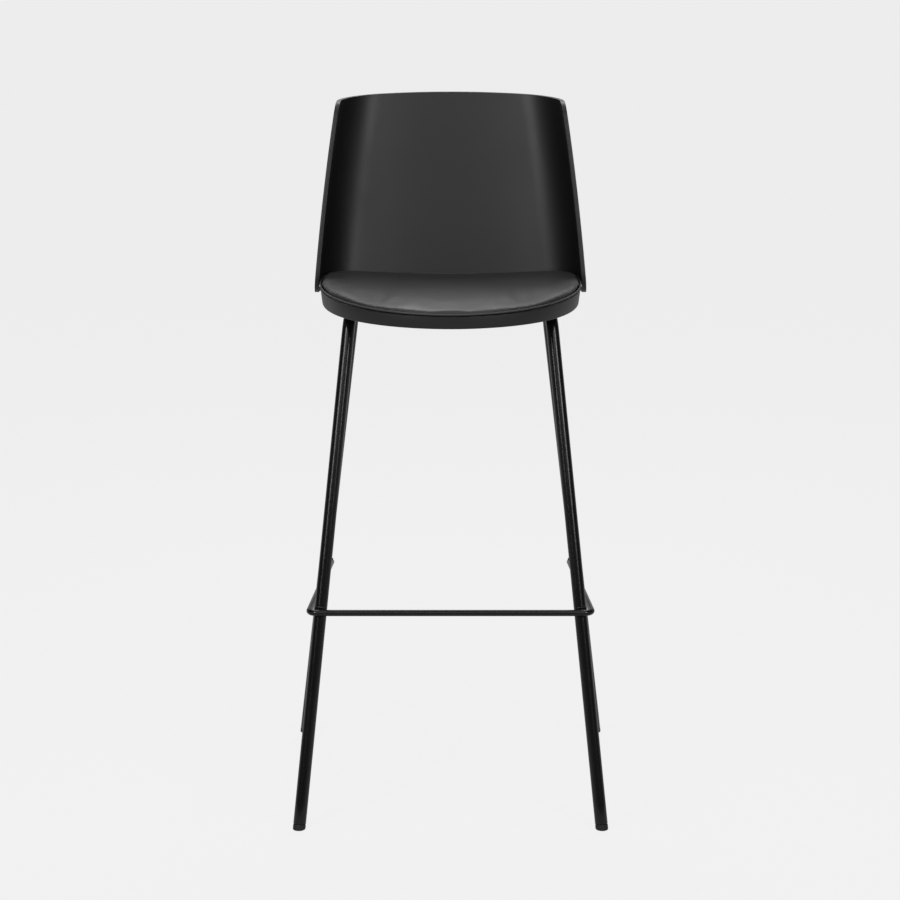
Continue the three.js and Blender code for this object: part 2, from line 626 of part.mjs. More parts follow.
function bentTubeFrame() {
  for (const [side, s] of sides) {
    const frontAxis = legDirection(FRONT_FOOT, FRONT_TOP, s);
    const rearAxis = legDirection(REAR_FOOT, REAR_TOP, s);
    const frontEnd = legPoint(FRONT_FOOT, FRONT_TOP, 0, s).addScaledVector(frontAxis, GLIDE_HEIGHT);
    const rearEnd = legPoint(REAR_FOOT, REAR_TOP, 0, s).addScaledVector(rearAxis, GLIDE_HEIGHT);
    const hoop = new BentPath([
      frontEnd,
      legPoint(FRONT_FOOT, FRONT_TOP, HOOP_TOP_Z, s),
      legPoint(REAR_FOOT, REAR_TOP, HOOP_TOP_Z, s),
      rearEnd,
    ], HOOP_BEND_R, 6);
    place(`leg_hoop_${side}`, sweep(hoop, LEG_TUBE_R, LEG_TUBE_R - LEG_WALL), MATERIALS.frame);
    glide(`glide_front_${side}`, legPoint(FRONT_FOOT, FRONT_TOP, 0, s), frontAxis);
    glide(`glide_rear_${side}`, legPoint(REAR_FOOT, REAR_TOP, 0, s), rearAxis);
  }
  const topRun = new THREE.Vector2(REAR_TOP.x - FRONT_TOP.x, REAR_TOP.y - FRONT_TOP.y).normalize();
  const crossY = (FRONT_TOP.y + REAR_TOP.y) / 2;
  const besideRun = LEG_TUBE_R * (1 + Math.abs(topRun.x)) / topRun.y;
  const crossEnd = (FRONT_TOP.x + REAR_TOP.x) / 2 - besideRun - FIT;
  const ring = new THREE.Shape().absarc(0, 0, LEG_TUBE_R, 0, 2 * Math.PI);
  ring.holes.push(new THREE.Path().absarc(0, 0, LEG_TUBE_R - LEG_WALL, 0, 2 * Math.PI, true));
  place('cross_tube', prismAlongX(ring, 2 * crossEnd), MATERIALS.frame).position.set(0, crossY, HOOP_TOP_Z);
}

// A foot plug: a stem in the tube and a head trimmed flat on the floor.
function glide(name, foot, axis) {
  const stemR = LEG_TUBE_R - LEG_WALL - GLIDE_FIT;
  const stemTop = GLIDE_HEIGHT + GLIDE_STEM;
  const body = turned([
    [0, -LEG_TUBE_R], [LEG_TUBE_R, -LEG_TUBE_R], [LEG_TUBE_R, GLIDE_HEIGHT - FIT],
    [stemR, GLIDE_HEIGHT - FIT], [stemR, stemTop - GLIDE_CHAMFER], [stemR - GLIDE_CHAMFER, stemTop],
    [0, stemTop],
  ], 16);
  body.applyQuaternion(new THREE.Quaternion().setFromUnitVectors(new THREE.Vector3(0, 0, 1), axis));
  body.translate(foot.x, foot.y, 0);
  const block = 2 * (stemTop + LEG_TUBE_R);
  const aboveFloor = new THREE.BoxGeometry(block, block, block).translate(foot.x, foot.y, block / 2);
  place(name, toGeometry(keep(toSolid(body), aboveFloor)), MATERIALS.glide);
}

// How far beside a leg's axis, along one coordinate, a rod keeps its axis the given distance away.
function besideLeg(rodDirection, legAxis, coordinate, distance) {
  const across = rodDirection.clone().cross(legAxis).normalize();
  return distance / Math.abs(across[coordinate]);
}

// The footrest's front bar lies against the front of the front legs. Its side rods run back outside
// the front legs and end in front of the rear legs, in line with their inner sides.
function footrest() {
  const touch = LEG_TUBE_R + BAR_R + FIT;
  const frontAxis = legDirection(FRONT_FOOT, FRONT_TOP, 1);
  const frontLeg = legPoint(FRONT_FOOT, FRONT_TOP, BAR_Z, 1);
  const rearLeg = legPoint(REAR_FOOT, REAR_TOP, BAR_Z + BAR_R, 1);
  const rearRise = legDirection(REAR_FOOT, REAR_TOP, 1).z;
  const rearFace = Math.sqrt(LEG_TUBE_R ** 2 - (LEG_TUBE_R - BAR_R) ** 2) / rearRise;
  const end = new THREE.Vector3(rearLeg.x - LEG_TUBE_R, rearLeg.y - rearFace - FIT, BAR_Z);
  const beside = touch + BAR_SIDE_GAP;
  const along = end.clone().sub(frontLeg).setX(end.x - frontLeg.x - beside).normalize();
  const outside = frontLeg.clone();
  outside.x += besideLeg(along, frontAxis, 'x', beside);
  const barY = frontLeg.y - besideLeg(new THREE.Vector3(1, 0, 0), frontAxis, 'y', touch);
  const corner = end.clone().lerp(outside, (barY - end.y) / (outside.y - end.y));
  const mirror = (p) => new THREE.Vector3(-p.x, p.y, p.z);
  const path = new BentPath([mirror(end), mirror(corner), corner, end], BAR_BEND_R, 6);
  place('footrest', sweep(path, BAR_R, 0, 12), MATERIALS.frame);
}

function seatPlate() {
  const { width, depth, thick, corner } = PLATE;
  const x = width / 2;
  const y = depth / 2;
  const outline = roundedShape([[-x, -y, corner], [x, -y, corner], [x, y, corner], [-x, y, corner]]);
  const blank = new THREE.ExtrudeGeometry(outline, { depth: thick, bevelEnabled: false, curveSegments: 6 });
  let plate = toSolid(blank.translate(0, 0, PLATE_TOP_Z - thick));
  for (const spot of platePlaces) {
    const hole = cylinderAt({ ...spot, z: PLATE_TOP_Z }, UP, PLATE_BOLT.shankR + HOLE_FIT, 3 * thick);
    plate = cut(plate, hole);
  }
  place('seat_plate', toGeometry(plate), MATERIALS.frame);

  const { r, t } = PLATE_WASHER;
  const bore = PLATE_BOLT.shankR + HOLE_FIT;
  const under = PLATE_TOP_Z - thick - FIT;
  const head = under - t - FIT;
  const foot = BOSS_BOTTOM_Z + FIT;
  const top = foot + PAN_INSERT.length;
  const insertR = PAN_INSERT.r;
  for (const { name, x: sx, y: sy } of platePlaces) {
    const washer = turned([[bore, under - t], [r, under - t], [r, under], [bore, under], [bore, under - t]]);
    const insert = turned([[bore, foot], [insertR, foot], [insertR, top], [bore, top], [bore, foot]]);
    place(`plate_washer_${name}`, washer, MATERIALS.zinc).position.set(sx, sy, 0);
    place(`plate_screw_${name}`, buttonScrew(PLATE_BOLT), MATERIALS.zinc).position.set(sx, sy, head);
    place(`pan_insert_${name}`, insert, MATERIALS.brass).position.set(sx, sy, 0);
  }
}

function shellHardware(boltPlaces) {
  const { r, length } = SHELL_INSERT;
  const bore = SHELL_BOLT.shankR + HOLE_FIT;
  for (const { name, face, axis, headIn } of boltPlaces) {
    const seat = face.clone().addScaledVector(axis, FIT);
    const head = face.clone().addScaledVector(axis, -headIn);
    const insert = turned([[bore, 0], [r, 0], [r, length], [bore, length], [bore, 0]]);
    const screw = buttonScrew({ ...SHELL_BOLT, length: headIn + length - FIT });
    placeAlong(`shell_insert_${name}`, insert, MATERIALS.brass, seat, axis);
    placeAlong(`shell_screw_${name}`, screw, MATERIALS.zinc, head, axis);
  }
}

const boltPlaces = shellBoltPlaces();
backShell(boltPlaces);
seatPan(boltPlaces);
seatPad();
bentTubeFrame();
footrest();
seatPlate();
shellHardware(boltPlaces);

export default group;
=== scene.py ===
"""Bar stool: fine shell, pan, pad, tube frame and hardware round the fixed CAD frame, in metres."""

import json
import math

import bmesh
import bpy
import numpy as np
from bpy.props import FloatProperty, FloatVectorProperty, PointerProperty
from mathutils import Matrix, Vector


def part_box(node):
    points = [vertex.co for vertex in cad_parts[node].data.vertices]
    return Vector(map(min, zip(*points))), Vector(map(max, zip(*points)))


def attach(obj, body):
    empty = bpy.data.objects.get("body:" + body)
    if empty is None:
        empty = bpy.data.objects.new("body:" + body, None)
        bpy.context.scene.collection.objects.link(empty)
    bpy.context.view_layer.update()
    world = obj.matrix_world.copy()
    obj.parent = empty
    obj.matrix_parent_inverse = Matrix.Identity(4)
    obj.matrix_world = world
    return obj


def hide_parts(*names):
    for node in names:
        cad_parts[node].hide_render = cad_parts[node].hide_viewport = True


bl_info = {
    "name": "Bar Stool Builder",
    "version": (1, 0, 0),
    "blender": (4, 5, 0),
    "location": "View3D > Sidebar > Bar Stool",
    "description": "Builds a bar stool with a wrap-round shell, a padded seat and a tube frame",
    "category": "Object",
}

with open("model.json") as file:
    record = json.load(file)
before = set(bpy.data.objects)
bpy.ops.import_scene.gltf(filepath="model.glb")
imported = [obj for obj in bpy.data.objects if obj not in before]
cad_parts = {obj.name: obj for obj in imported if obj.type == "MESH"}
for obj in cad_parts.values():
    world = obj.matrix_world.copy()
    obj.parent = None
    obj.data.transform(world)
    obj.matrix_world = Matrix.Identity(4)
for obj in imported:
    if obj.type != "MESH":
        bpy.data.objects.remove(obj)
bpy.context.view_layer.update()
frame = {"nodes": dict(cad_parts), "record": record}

SIDES = (("left", -1), ("right", 1))
ENDS = ("front", "rear")
CORNERS = tuple(f"{end}_{side}" for side, _ in SIDES for end in ENDS)
CLEARANCE = 0.0003  # between pieces that touch, as in the CAD
SCREW_HOLE_R = 0.0033  # holes of the seat plate and bores of its washers


# ------------------------------------------------------------------ sizes and colours

def length(name, description, default):
    return FloatProperty(name=name, description=description, default=default, unit="LENGTH", precision=4)


def ratio(name, description, default):
    return FloatProperty(name=name, description=description, default=default)


def colour(name, description, default):
    return FloatVectorProperty(name=name, description=description, default=default, size=3, subtype="COLOR")


def place(name, description, default):
    return FloatVectorProperty(
        name=name, description=description, default=default, size=2, unit="LENGTH", precision=4
    )


class StoolShellSizes(bpy.types.PropertyGroup):
    """Sizes of the wrap-round back shell."""

    thickness: length("Thickness", "Wall of the shell", 0.0065)
    edge_round: length("Edge round", "Rounding of the shell's edges", 0.0021)
    seat_z: length("Seat section height", "Height of the lower plan section", 0.780)
    seat_back: length("Seat section back", "Depth of the back at the seat", 0.153)
    seat_half: length("Seat section half width", "Half width of the back at the seat", 0.2018)
    seat_flare: ratio("Seat flare", "Splay of the wings at the seat, in degrees", 1.5)
    head_z: length("Top section height", "Height of the upper plan section", 1.054)
    head_back: length("Top section back", "Depth of the back at the top", 0.210)
    head_half: length("Top section half width", "Half width of the back at the top", 0.168)
    head_flare: ratio("Top flare", "Splay of the wings at the top, in degrees", 3.0)
    bow: length("Bow", "Outward bow of the wings at mid-height", 0.002)
    back_radius: length("Back radius", "Plan radius of the back", 0.550)
    corner_radius: length("Corner radius", "Plan radius between back and wing", 0.078)
    top_z: length("Top height", "Height of the top edge's middle", 1.0545)
    arch_radius: length("Arch radius", "Radius of the top edge across the width", 3.000)
    low_corner: place("Low corner", "Depth and height of the wing's lower corner", (0.030, 0.765))
    high_corner: place("High corner", "Depth and height of the wing's upper corner", (0.098, 1.0545))
    low_round: length("Low corner round", "Rounding of the wing's lower corner", 0.026)
    high_round: length("High corner round", "Rounding of the wing's upper corner", 0.027)
    rear_low_z: length("Rear lower edge", "Height of the lower edge at the back", 0.7606)


class StoolSeatSizes(bpy.types.PropertyGroup):
    """Sizes of the seat pan and the pad."""

    rim_z: length("Outline height", "Height at which the seat's outline is drawn", 0.787)
    front_y: length("Front", "Depth of the outline's front", -0.2227)
    side_y: length("Shell end", "Depth at which the outline leaves the shell", 0.030)
    front_pull: length("Front pull", "Handle of the curve at the front", 0.073)
    side_pull: length("Side pull", "Handle of the curve at the side", 0.204)
    draft: ratio("Draft", "Inward lean of the sides per unit of height", 0.127)
    shell_gap: length("Shell gap", "Gap between pan and shell", 0.0006)
    dish_z: length("Rim height", "Height of the rim at the middle", 0.7746)
    dish_rise: ratio("Dish", "Rise of the rim over half width squared", 0.20)
    inset: length("Pan inset", "Pan's face inside the seat's outline", 0.0018)
    wall: length("Pan wall", "Wall of the pan", 0.0032)
    skirt_z: length("Skirt height", "Height of the pan's lower edge at the middle", 0.7563)
    skirt_rise: ratio("Skirt rise", "Rise of the pan's lower edge", 0.03)
    floor_z: length("Floor height", "Underside of the pan's floor", 0.762)
    floor: length("Floor", "Thickness of the pan's floor", 0.004)
    overhang: length("Pad inset", "Pad's widest line inside the seat's outline", 0.0013)
    rim_gap: length("Rim gap", "Gap between the pad and the pan's rim", 0.0018)
    plug_inset: length("Plug inset", "Pad's lower part inside the tray", 0.0082)
    plug_z: length("Plug height", "Lowest height of the pad's cover", 0.7663)
    edge: length("Pad edge", "Upright part of the pad's edge", 0.0024)
    roll: length("Pad roll", "Width of the pad's rounded edge", 0.028)
    top_z: length("Pad top", "Height of the pad's top at the middle", 0.7848)
    top_rise: ratio("Pad dish", "Rise of the pad's top over half width squared", 0.38)
    top_tilt: ratio("Pad tilt", "Backward fall of the pad's top", 0.018)
    swell: length("Swell", "How far the cloth may move when it is blown up", 0.004)


class StoolFrameSizes(bpy.types.PropertyGroup):
    """Sizes of the tube frame and the footrest."""

    front_top: place("Front leg top", "Half width and depth of the front leg's top", (0.1514, -0.0299))
    rear_top: place("Rear leg top", "Half width and depth of the rear leg's top", (0.1478, 0.0299))
    top_z: length("Top run", "Height of the hoop's top run", 0.745)
    bend_radius: length("Hoop bend", "Bend radius of the leg hoops", 0.037)
    wall: length("Tube wall", "Wall of the leg tube", 0.0015)
    glide_height: length("Glide height", "Height of the foot plug below the tube", 0.008)
    bar_z: length("Bar height", "Height of the footrest's axis", 0.3155)
    bar_bend: length("Bar bend", "Bend radius of the footrest", 0.013)
    bar_side_gap: length("Side gap", "Gap between side rod and front leg", 0.0018)
    weld_size: length("Weld size", "Width of a weld bead", 0.0042)


class StoolFinish(bpy.types.PropertyGroup):
    """Colours of the finishes."""

    plastic: colour("Plastic", "Moulded shell and pan", (0.002, 0.002, 0.0021))
    leather: colour("Cover", "Artificial leather of the pad", (0.030, 0.030, 0.031))
    powder: colour("Powder coat", "Coated steel of the frame", (0.002, 0.002, 0.0021))
    nylon: colour("Nylon", "Foot glides", (0.004, 0.004, 0.004))
    zinc: colour("Zinc", "Plated screws and washers", (0.55, 0.56, 0.57))
    brass: colour("Brass", "Threaded inserts", (0.52, 0.37, 0.12))
    wood: colour("Board", "Plywood of the seat board", (0.43, 0.26, 0.11))
    foam: colour("Foam", "Seat foam", (0.68, 0.62, 0.42))
    grain_scale: ratio("Grain", "Grain cells per metre", 900.0)


GROUPS = {
    "stool_shell": StoolShellSizes,
    "stool_seat": StoolSeatSizes,
    "stool_frame": StoolFrameSizes,
    "stool_finish": StoolFinish,
}


def settings(name):
    return getattr(bpy.context.scene, name)


# ------------------------------------------------------------------ mesh helpers

def new_object(name, verts, faces, material, smooth=True):
    mesh = bpy.data.meshes.new(name)
    mesh.from_pydata([tuple(v) for v in verts], [], faces)
    mesh.update()
    mesh.materials.append(material)
    if smooth:
        mesh.shade_smooth()
    obj = bpy.data.objects.new(name, mesh)
    bpy.context.scene.collection.objects.link(obj)
    return obj


def bake_modifiers(obj):
    """Turns an object's modifiers into its plain mesh."""
    depsgraph = bpy.context.evaluated_depsgraph_get()
    mesh = bpy.data.meshes.new_from_object(obj.evaluated_get(depsgraph), depsgraph=depsgraph)
    obj.modifiers.clear()
    old = obj.data
    obj.data = mesh
    mesh.name = obj.name
    bpy.data.meshes.remove(old)
    return obj


def recalculate(obj):
    """Merges doubles and turns all faces outwards."""
    bm = bmesh.new()
    bm.from_mesh(obj.data)
    bmesh.ops.remove_doubles(bm, verts=bm.verts, dist=1e-6)
    bmesh.ops.recalc_face_normals(bm, faces=bm.faces)
    bm.to_mesh(obj.data)
    bm.free()
    obj.data.update()
    return obj


def smooth_by_angle(obj, degrees=35.0):
    obj.data.shade_smooth()
    obj.data.set_sharp_from_angle(angle=math.radians(degrees))
    return obj


def bevel(obj, width, segments=3, degrees=40.0):
    mod = obj.modifiers.new("edge", "BEVEL")
    mod.width = width
    mod.segments = segments
    mod.limit_method = "ANGLE"
    mod.angle_limit = math.radians(degrees)
    mod.harden_normals = False
    return bake_modifiers(obj)


def boolean(obj, tool, operation):
    mod = obj.modifiers.new("cut", "BOOLEAN")
    mod.object = tool
    mod.operation = operation
    mod.solver = "EXACT"
    bake_modifiers(obj)
    bpy.data.objects.remove(tool)
    return obj


def finish_piece(obj, slot, *nodes, body="root"):
    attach(obj, body)
    if nodes:
        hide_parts(*nodes)
    return obj


def quad_strip(start_a, start_b, count):
    """Faces between two closed rings, by the index of each ring's first vertex."""
    faces = []
    for i in range(count):
        j = (i + 1) % count
        faces.append((start_a + i, start_a + j, start_b + j, start_b + i))
    return faces


def rings_to_mesh(rings, closed_rings=False, capped=False):
    """A skin over a list of equal rings: closed_rings joins last to first, capped fills both ends."""
    count = len(rings[0])
    verts = [p for ring in rings for p in ring]
    faces = []
    last = len(rings) if closed_rings else len(rings) - 1
    for k in range(last):
        faces += quad_strip(k * count, ((k + 1) % len(rings)) * count, count)
    if capped:
        faces.append(tuple(range(count)))
        faces.append(tuple(reversed(range(len(verts) - count, len(verts)))))
    return verts, faces


# ------------------------------------------------------------------ shader groups

def group_tree(kind, name, inputs, outputs):
    tree = bpy.data.node_groups.new(name, kind)
    for label, socket_type, default in inputs:
        socket = tree.interface.new_socket(label, in_out="INPUT", socket_type=socket_type)
        if default is not None:
            socket.default_value = default
    for label, socket_type in outputs:
        tree.interface.new_socket(label, in_out="OUTPUT", socket_type=socket_type)
    tree.nodes.new("NodeGroupInput").name = "in"
    tree.nodes.new("NodeGroupOutput").name = "out"
    return tree


def add_node(tree, kind, values=None, **settings_):
    node = tree.nodes.new(kind)
    for key, value in settings_.items():
        setattr(node, key, value)
    for key, value in (values or {}).items():
        node.inputs[key].default_value = value
    return node


def link(tree, source, output, target, socket):
    tree.links.new(source.outputs[output], target.inputs[socket])


def times(tree, source, output, factor):
    """A math node that multiplies an output by a factor."""
    node = add_node(tree, "ShaderNodeMath", {1: factor}, operation="MULTIPLY")
    link(tree, source, output, node, 0)
    return node


def fine_grain_group():
    """Moulded or coated grain: cells and soft noise as a height, and a mask of slight wear."""
    tree = group_tree(
        "ShaderNodeTree", "stool_fine_grain",
        [("Cells", "NodeSocketFloat", 900.0), ("Depth", "NodeSocketFloat", 0.5),
         ("Clouds", "NodeSocketFloat", 6.0)],
        [("Height", "NodeSocketFloat"), ("Mottle", "NodeSocketFloat")],
    )
    source = tree.nodes["in"]
    out = tree.nodes["out"]
    coords = add_node(tree, "ShaderNodeTexCoord")
    cells = add_node(tree, "ShaderNodeTexVoronoi", {"Randomness": 1.0}, feature="SMOOTH_F1")
    noise = add_node(tree, "ShaderNodeTexNoise", {"Detail": 4.0, "Roughness": 0.6})
    clouds = add_node(tree, "ShaderNodeTexNoise", {"Detail": 3.0, "Roughness": 0.55})
    coarse = times(tree, source, "Cells", 0.45)
    blend = add_node(tree, "ShaderNodeMath", operation="ADD")
    scaled = add_node(tree, "ShaderNodeMath", operation="MULTIPLY")
    for texture in (cells, noise, clouds):
        link(tree, coords, "Object", texture, "Vector")
    link(tree, source, "Cells", cells, "Scale")
    link(tree, coarse, 0, noise, "Scale")
    link(tree, source, "Clouds", clouds, "Scale")
    link(tree, cells, "Distance", blend, 0)
    link(tree, noise, "Fac", blend, 1)
    link(tree, blend, 0, scaled, 0)
    link(tree, source, "Depth", scaled, 1)
    link(tree, scaled, 0, out, "Height")
    link(tree, clouds, "Fac", out, "Mottle")
    return tree


def vary_group():
    """Spreads a base colour and a roughness a little up and down by a mask."""
    tree = group_tree(
        "ShaderNodeTree", "stool_vary",
        [("Colour", "NodeSocketColor", (0.5, 0.5, 0.5, 1)), ("Mask", "NodeSocketFloat", 0.5),
         ("Colour spread", "NodeSocketFloat", 0.2), ("Roughness low", "NodeSocketFloat", 0.4),
         ("Roughness high", "NodeSocketFloat", 0.6)],
        [("Colour", "NodeSocketColor"), ("Roughness", "NodeSocketFloat")],
    )
    source = tree.nodes["in"]
    out = tree.nodes["out"]
    centre = add_node(tree, "ShaderNodeMath", {1: 0.5}, operation="SUBTRACT")
    spread = add_node(tree, "ShaderNodeMath", operation="MULTIPLY")
    gain = add_node(tree, "ShaderNodeMath", {1: 1.0}, operation="ADD")
    scale = add_node(tree, "ShaderNodeVectorMath", operation="SCALE")
    rough = add_node(tree, "ShaderNodeMapRange", {"From Min": 0.3, "From Max": 0.7})
    link(tree, source, "Mask", centre, 0)
    link(tree, centre, 0, spread, 0)
    link(tree, source, "Colour spread", spread, 1)
    link(tree, spread, 0, gain, 0)
    link(tree, source, "Colour", scale, 0)
    link(tree, gain, 0, scale, "Scale")
    link(tree, source, "Mask", rough, "Value")
    link(tree, source, "Roughness low", rough, "To Min")
    link(tree, source, "Roughness high", rough, "To Max")
    link(tree, scale, "Vector", out, "Colour")
    link(tree, rough, "Result", out, "Roughness")
    return tree


def group_node(tree, group, **values):
    node = tree.nodes.new("ShaderNodeGroup")
    node.node_tree = group
    for key, value in values.items():
        node.inputs[key.replace("_", " ")].default_value = value
    return node


def base_material(name):
    material = bpy.data.materials.new(name)
    material.use_nodes = True
    tree = material.node_tree
    return material, tree, tree.nodes["Principled BSDF"]


def grained(name, tint, rough, cells, depth, bump, spread=0.25, clouds=6.0, **shader):
    """A material with a fine grain: uniform values stay on the shader's own sockets."""
    material, tree, bsdf = base_material(name)
    grain = group_node(tree, SHADERS["grain"], Cells=cells, Depth=depth, Clouds=clouds)
    vary = group_node(tree, SHADERS["vary"], Colour=(*tint, 1.0), Colour_spread=spread,
                      Roughness_low=rough[0], Roughness_high=rough[1])
    height = add_node(tree, "ShaderNodeBump", {"Strength": bump, "Distance": 0.0004})
    link(tree, grain, "Mottle", vary, "Mask")
    link(tree, vary, "Colour", bsdf, "Base Color")
    link(tree, vary, "Roughness", bsdf, "Roughness")
    link(tree, grain, "Height", height, "Height")
    link(tree, height, "Normal", bsdf, "Normal")
    for key, value in shader.items():
        bsdf.inputs[key.replace("_", " ")].default_value = value
    return material


SHADERS = {}
MATERIALS = {}


def make_materials():
    look = settings("stool_finish")
    SHADERS["grain"] = fine_grain_group()
    SHADERS["vary"] = vary_group()
    cells = look.grain_scale
    MATERIALS["shell_plastic"] = grained(
        "shell_plastic", look.plastic, (0.44, 0.52), cells, 0.6, 0.10)
    MATERIALS["pan_plastic"] = grained(
        "pan_plastic", look.plastic, (0.42, 0.52), cells, 0.6, 0.10)
    MATERIALS["cover"] = grained(
        "cover_leather", look.leather, (0.44, 0.56), 650.0, 1.0, 0.22, spread=0.3, clouds=9.0,
        Specular_IOR_Level=0.4)
    MATERIALS["frame_steel"] = grained(
        "frame_powder_coat", look.powder, (0.20, 0.26), 1500.0, 0.8, 0.08, Specular_IOR_Level=0.4)
    MATERIALS["glide"] = grained("glide_nylon", look.nylon, (0.5, 0.6), 1200.0, 0.5, 0.08)
    MATERIALS["zinc_steel"] = grained(
        "zinc_plating", look.zinc, (0.25, 0.4), 500.0, 0.3, 0.05, Metallic=1.0)
    MATERIALS["brass"] = grained("turned_brass", look.brass, (0.25, 0.4), 500.0, 0.3, 0.05, Metallic=1.0)
    MATERIALS["board"] = grained("seat_plywood", look.wood, (0.6, 0.75), 220.0, 0.8, 0.2, clouds=30.0)
    MATERIALS["foam"] = grained("seat_foam", look.foam, (0.9, 1.0), 420.0, 1.0, 0.4, clouds=40.0)


def dress_cad_nodes():
    """Gives every CAD node that stays the finish of its slot."""
    for part in frame["record"]["subparts"]:
        node = frame["nodes"][part["node"]]
        material = MATERIALS[part["material_slot"]]
        if not node.material_slots:
            node.data.materials.append(material)
        for spot in node.material_slots:
            spot.material = material


# ------------------------------------------------------------------ shell and seat outlines

def mix(a, b, t):
    return a + (b - a) * t


def unit(v):
    return v / np.linalg.norm(v)


def shell_section(z):
    """Centres and directions of the shell's plan at height z: back arc, corner arc, straight wing."""
    s = settings("stool_shell")
    t = (z - s.seat_z) / (s.head_z - s.seat_z)
    flare = math.radians(mix(s.seat_flare, s.head_flare, t))
    arc_centre = np.array([0.0, mix(s.seat_back, s.head_back, t) - s.back_radius])
    corner_x = mix(s.seat_half, s.head_half, t) + 4 * s.bow * t * (1 - t)
    corner = np.array([corner_x, arc_centre[1] + math.sqrt(s.back_radius**2 - corner_x**2)])
    along = np.array([math.sin(flare), -math.cos(flare)])
    outward = np.array([math.cos(flare), math.sin(flare)])
    beside = corner - outward * s.corner_radius - arc_centre
    b = beside @ along
    c = beside @ beside - (s.back_radius - s.corner_radius) ** 2
    root = math.sqrt(b * b - c)
    slide = min((-b - root, -b + root), key=abs)
    corner_centre = beside + along * slide + arc_centre
    return arc_centre, corner_centre, unit(corner_centre - arc_centre), along, outward


def shell_half(z, front_y, steps):
    """Half of the middle line at height z, centre to wing: points and outward normals."""
    s = settings("stool_shell")
    arc_centre, corner_centre, seam, along, outward = shell_section(z)
    arc_steps, corner_steps, wing_steps = steps
    line = []
    seam_angle = math.atan2(seam[0], seam[1])
    for i in range(arc_steps):
        angle = seam_angle * i / arc_steps
        normal = np.array([math.sin(angle), math.cos(angle)])
        line.append((arc_centre + normal * s.back_radius, normal))
    start_angle = math.atan2(seam[1], seam[0])
    end_angle = math.atan2(outward[1], outward[0])
    for i in range(corner_steps):
        angle = mix(start_angle, end_angle, i / corner_steps)
        normal = np.array([math.cos(angle), math.sin(angle)])
        line.append((corner_centre + normal * s.corner_radius, normal))
    start = corner_centre + outward * s.corner_radius
    end = start + along * ((front_y - start[1]) / along[1])
    for i in range(wing_steps + 1):
        line.append((mix(start, end, i / wing_steps), outward))
    return line


def offset(sample, distance):
    return sample[0] + sample[1] * distance


def rim_height(x):
    s = settings("stool_seat")
    return s.dish_z + s.dish_rise * x * x


def pad_top(x, y):
    s = settings("stool_seat")
    return s.top_z + s.top_rise * x * x - s.top_tilt * y


def draft_of(normal):
    """The inward lean of the seat's side where it faces along normal: the back follows the shell."""
    s = settings("stool_shell")
    lean = (s.head_back - s.seat_back) / (s.head_z - s.seat_z)
    return max(settings("stool_seat").draft, lean * normal[1])


def mirror_half(half):
    """A closed outline from a half line that starts and ends on the middle plane."""
    left = [(p * (-1, 1), n * (-1, 1)) for p, n in reversed(half[1:-1])]
    return half + left


def seat_outline(back_steps, front_steps):
    """The seat's plan outline, clockwise from the rear middle: points and outward normals."""
    s = settings("stool_seat")
    shell = settings("stool_shell")
    inset = -shell.thickness / 2 - s.shell_gap
    inside = [(offset(sample, inset), sample[1]) for sample in shell_half(s.rim_z, s.side_y, back_steps)]
    along = shell_section(s.rim_z)[3]
    p0 = inside[-1][0]
    p1 = p0 + along * s.side_pull
    p2 = np.array([s.front_pull, s.front_y])
    p3 = np.array([0.0, s.front_y])
    front = []
    for i in range(1, front_steps + 1):
        t = i / front_steps
        u = 1 - t
        point = u**3 * p0 + 3 * u * u * t * p1 + 3 * u * t * t * p2 + t**3 * p3
        tangent = unit(3 * u * u * (p1 - p0) + 6 * u * t * (p2 - p1) + 3 * t * t * (p3 - p2))
        front.append((point, np.array([-tangent[1], tangent[0]])))
    return mirror_half(inside + front)


def level_ring(outline, z, inset):
    """A ring at one height, inset from the drafted side."""
    s = settings("stool_seat")
    points = [offset(sample, -(draft_of(sample[1]) * (s.rim_z - z) + inset)) for sample in outline]
    return [(p[0], p[1], z) for p in points]


def dish_ring(outline, base, rise, lift, inset):
    """A ring that follows the curve base + rise * x * x, lifted and inset from the drafted side."""
    s = settings("stool_seat")
    ring = []
    for sample in outline:
        draft = draft_of(sample[1])
        height = base + rise * sample[0][0] ** 2 + lift
        near = offset(sample, -(draft * (s.rim_z - height) + inset))
        height = base + rise * near[0] ** 2 + lift
        p = offset(sample, -(draft * (s.rim_z - height) + inset))
        ring.append((p[0], p[1], height))
    return ring


# ------------------------------------------------------------------ back shell

def arc_points(centre, radius, start, end, steps):
    """Points on the shorter arc from start to end round centre."""
    a = math.atan2(start[1] - centre[1], start[0] - centre[0])
    b = math.atan2(end[1] - centre[1], end[0] - centre[0])
    turn = (b - a + math.pi) % (2 * math.pi) - math.pi
    return [centre + radius * np.array([math.cos(a + turn * i / steps), math.sin(a + turn * i / steps)])
            for i in range(steps + 1)]


def rounded_corner(before, corner, after, radius, steps):
    """Arc points that round a corner, from the first leg's side to the second's."""
    back = unit(before - corner)
    ahead = unit(after - corner)
    half = math.acos(np.clip(back @ ahead, -1, 1)) / 2
    start = corner + back * (radius / math.tan(half))
    end = corner + ahead * (radius / math.tan(half))
    centre = corner + unit(back + ahead) * (radius / math.sin(half))
    return arc_points(centre, radius, start, end, steps)


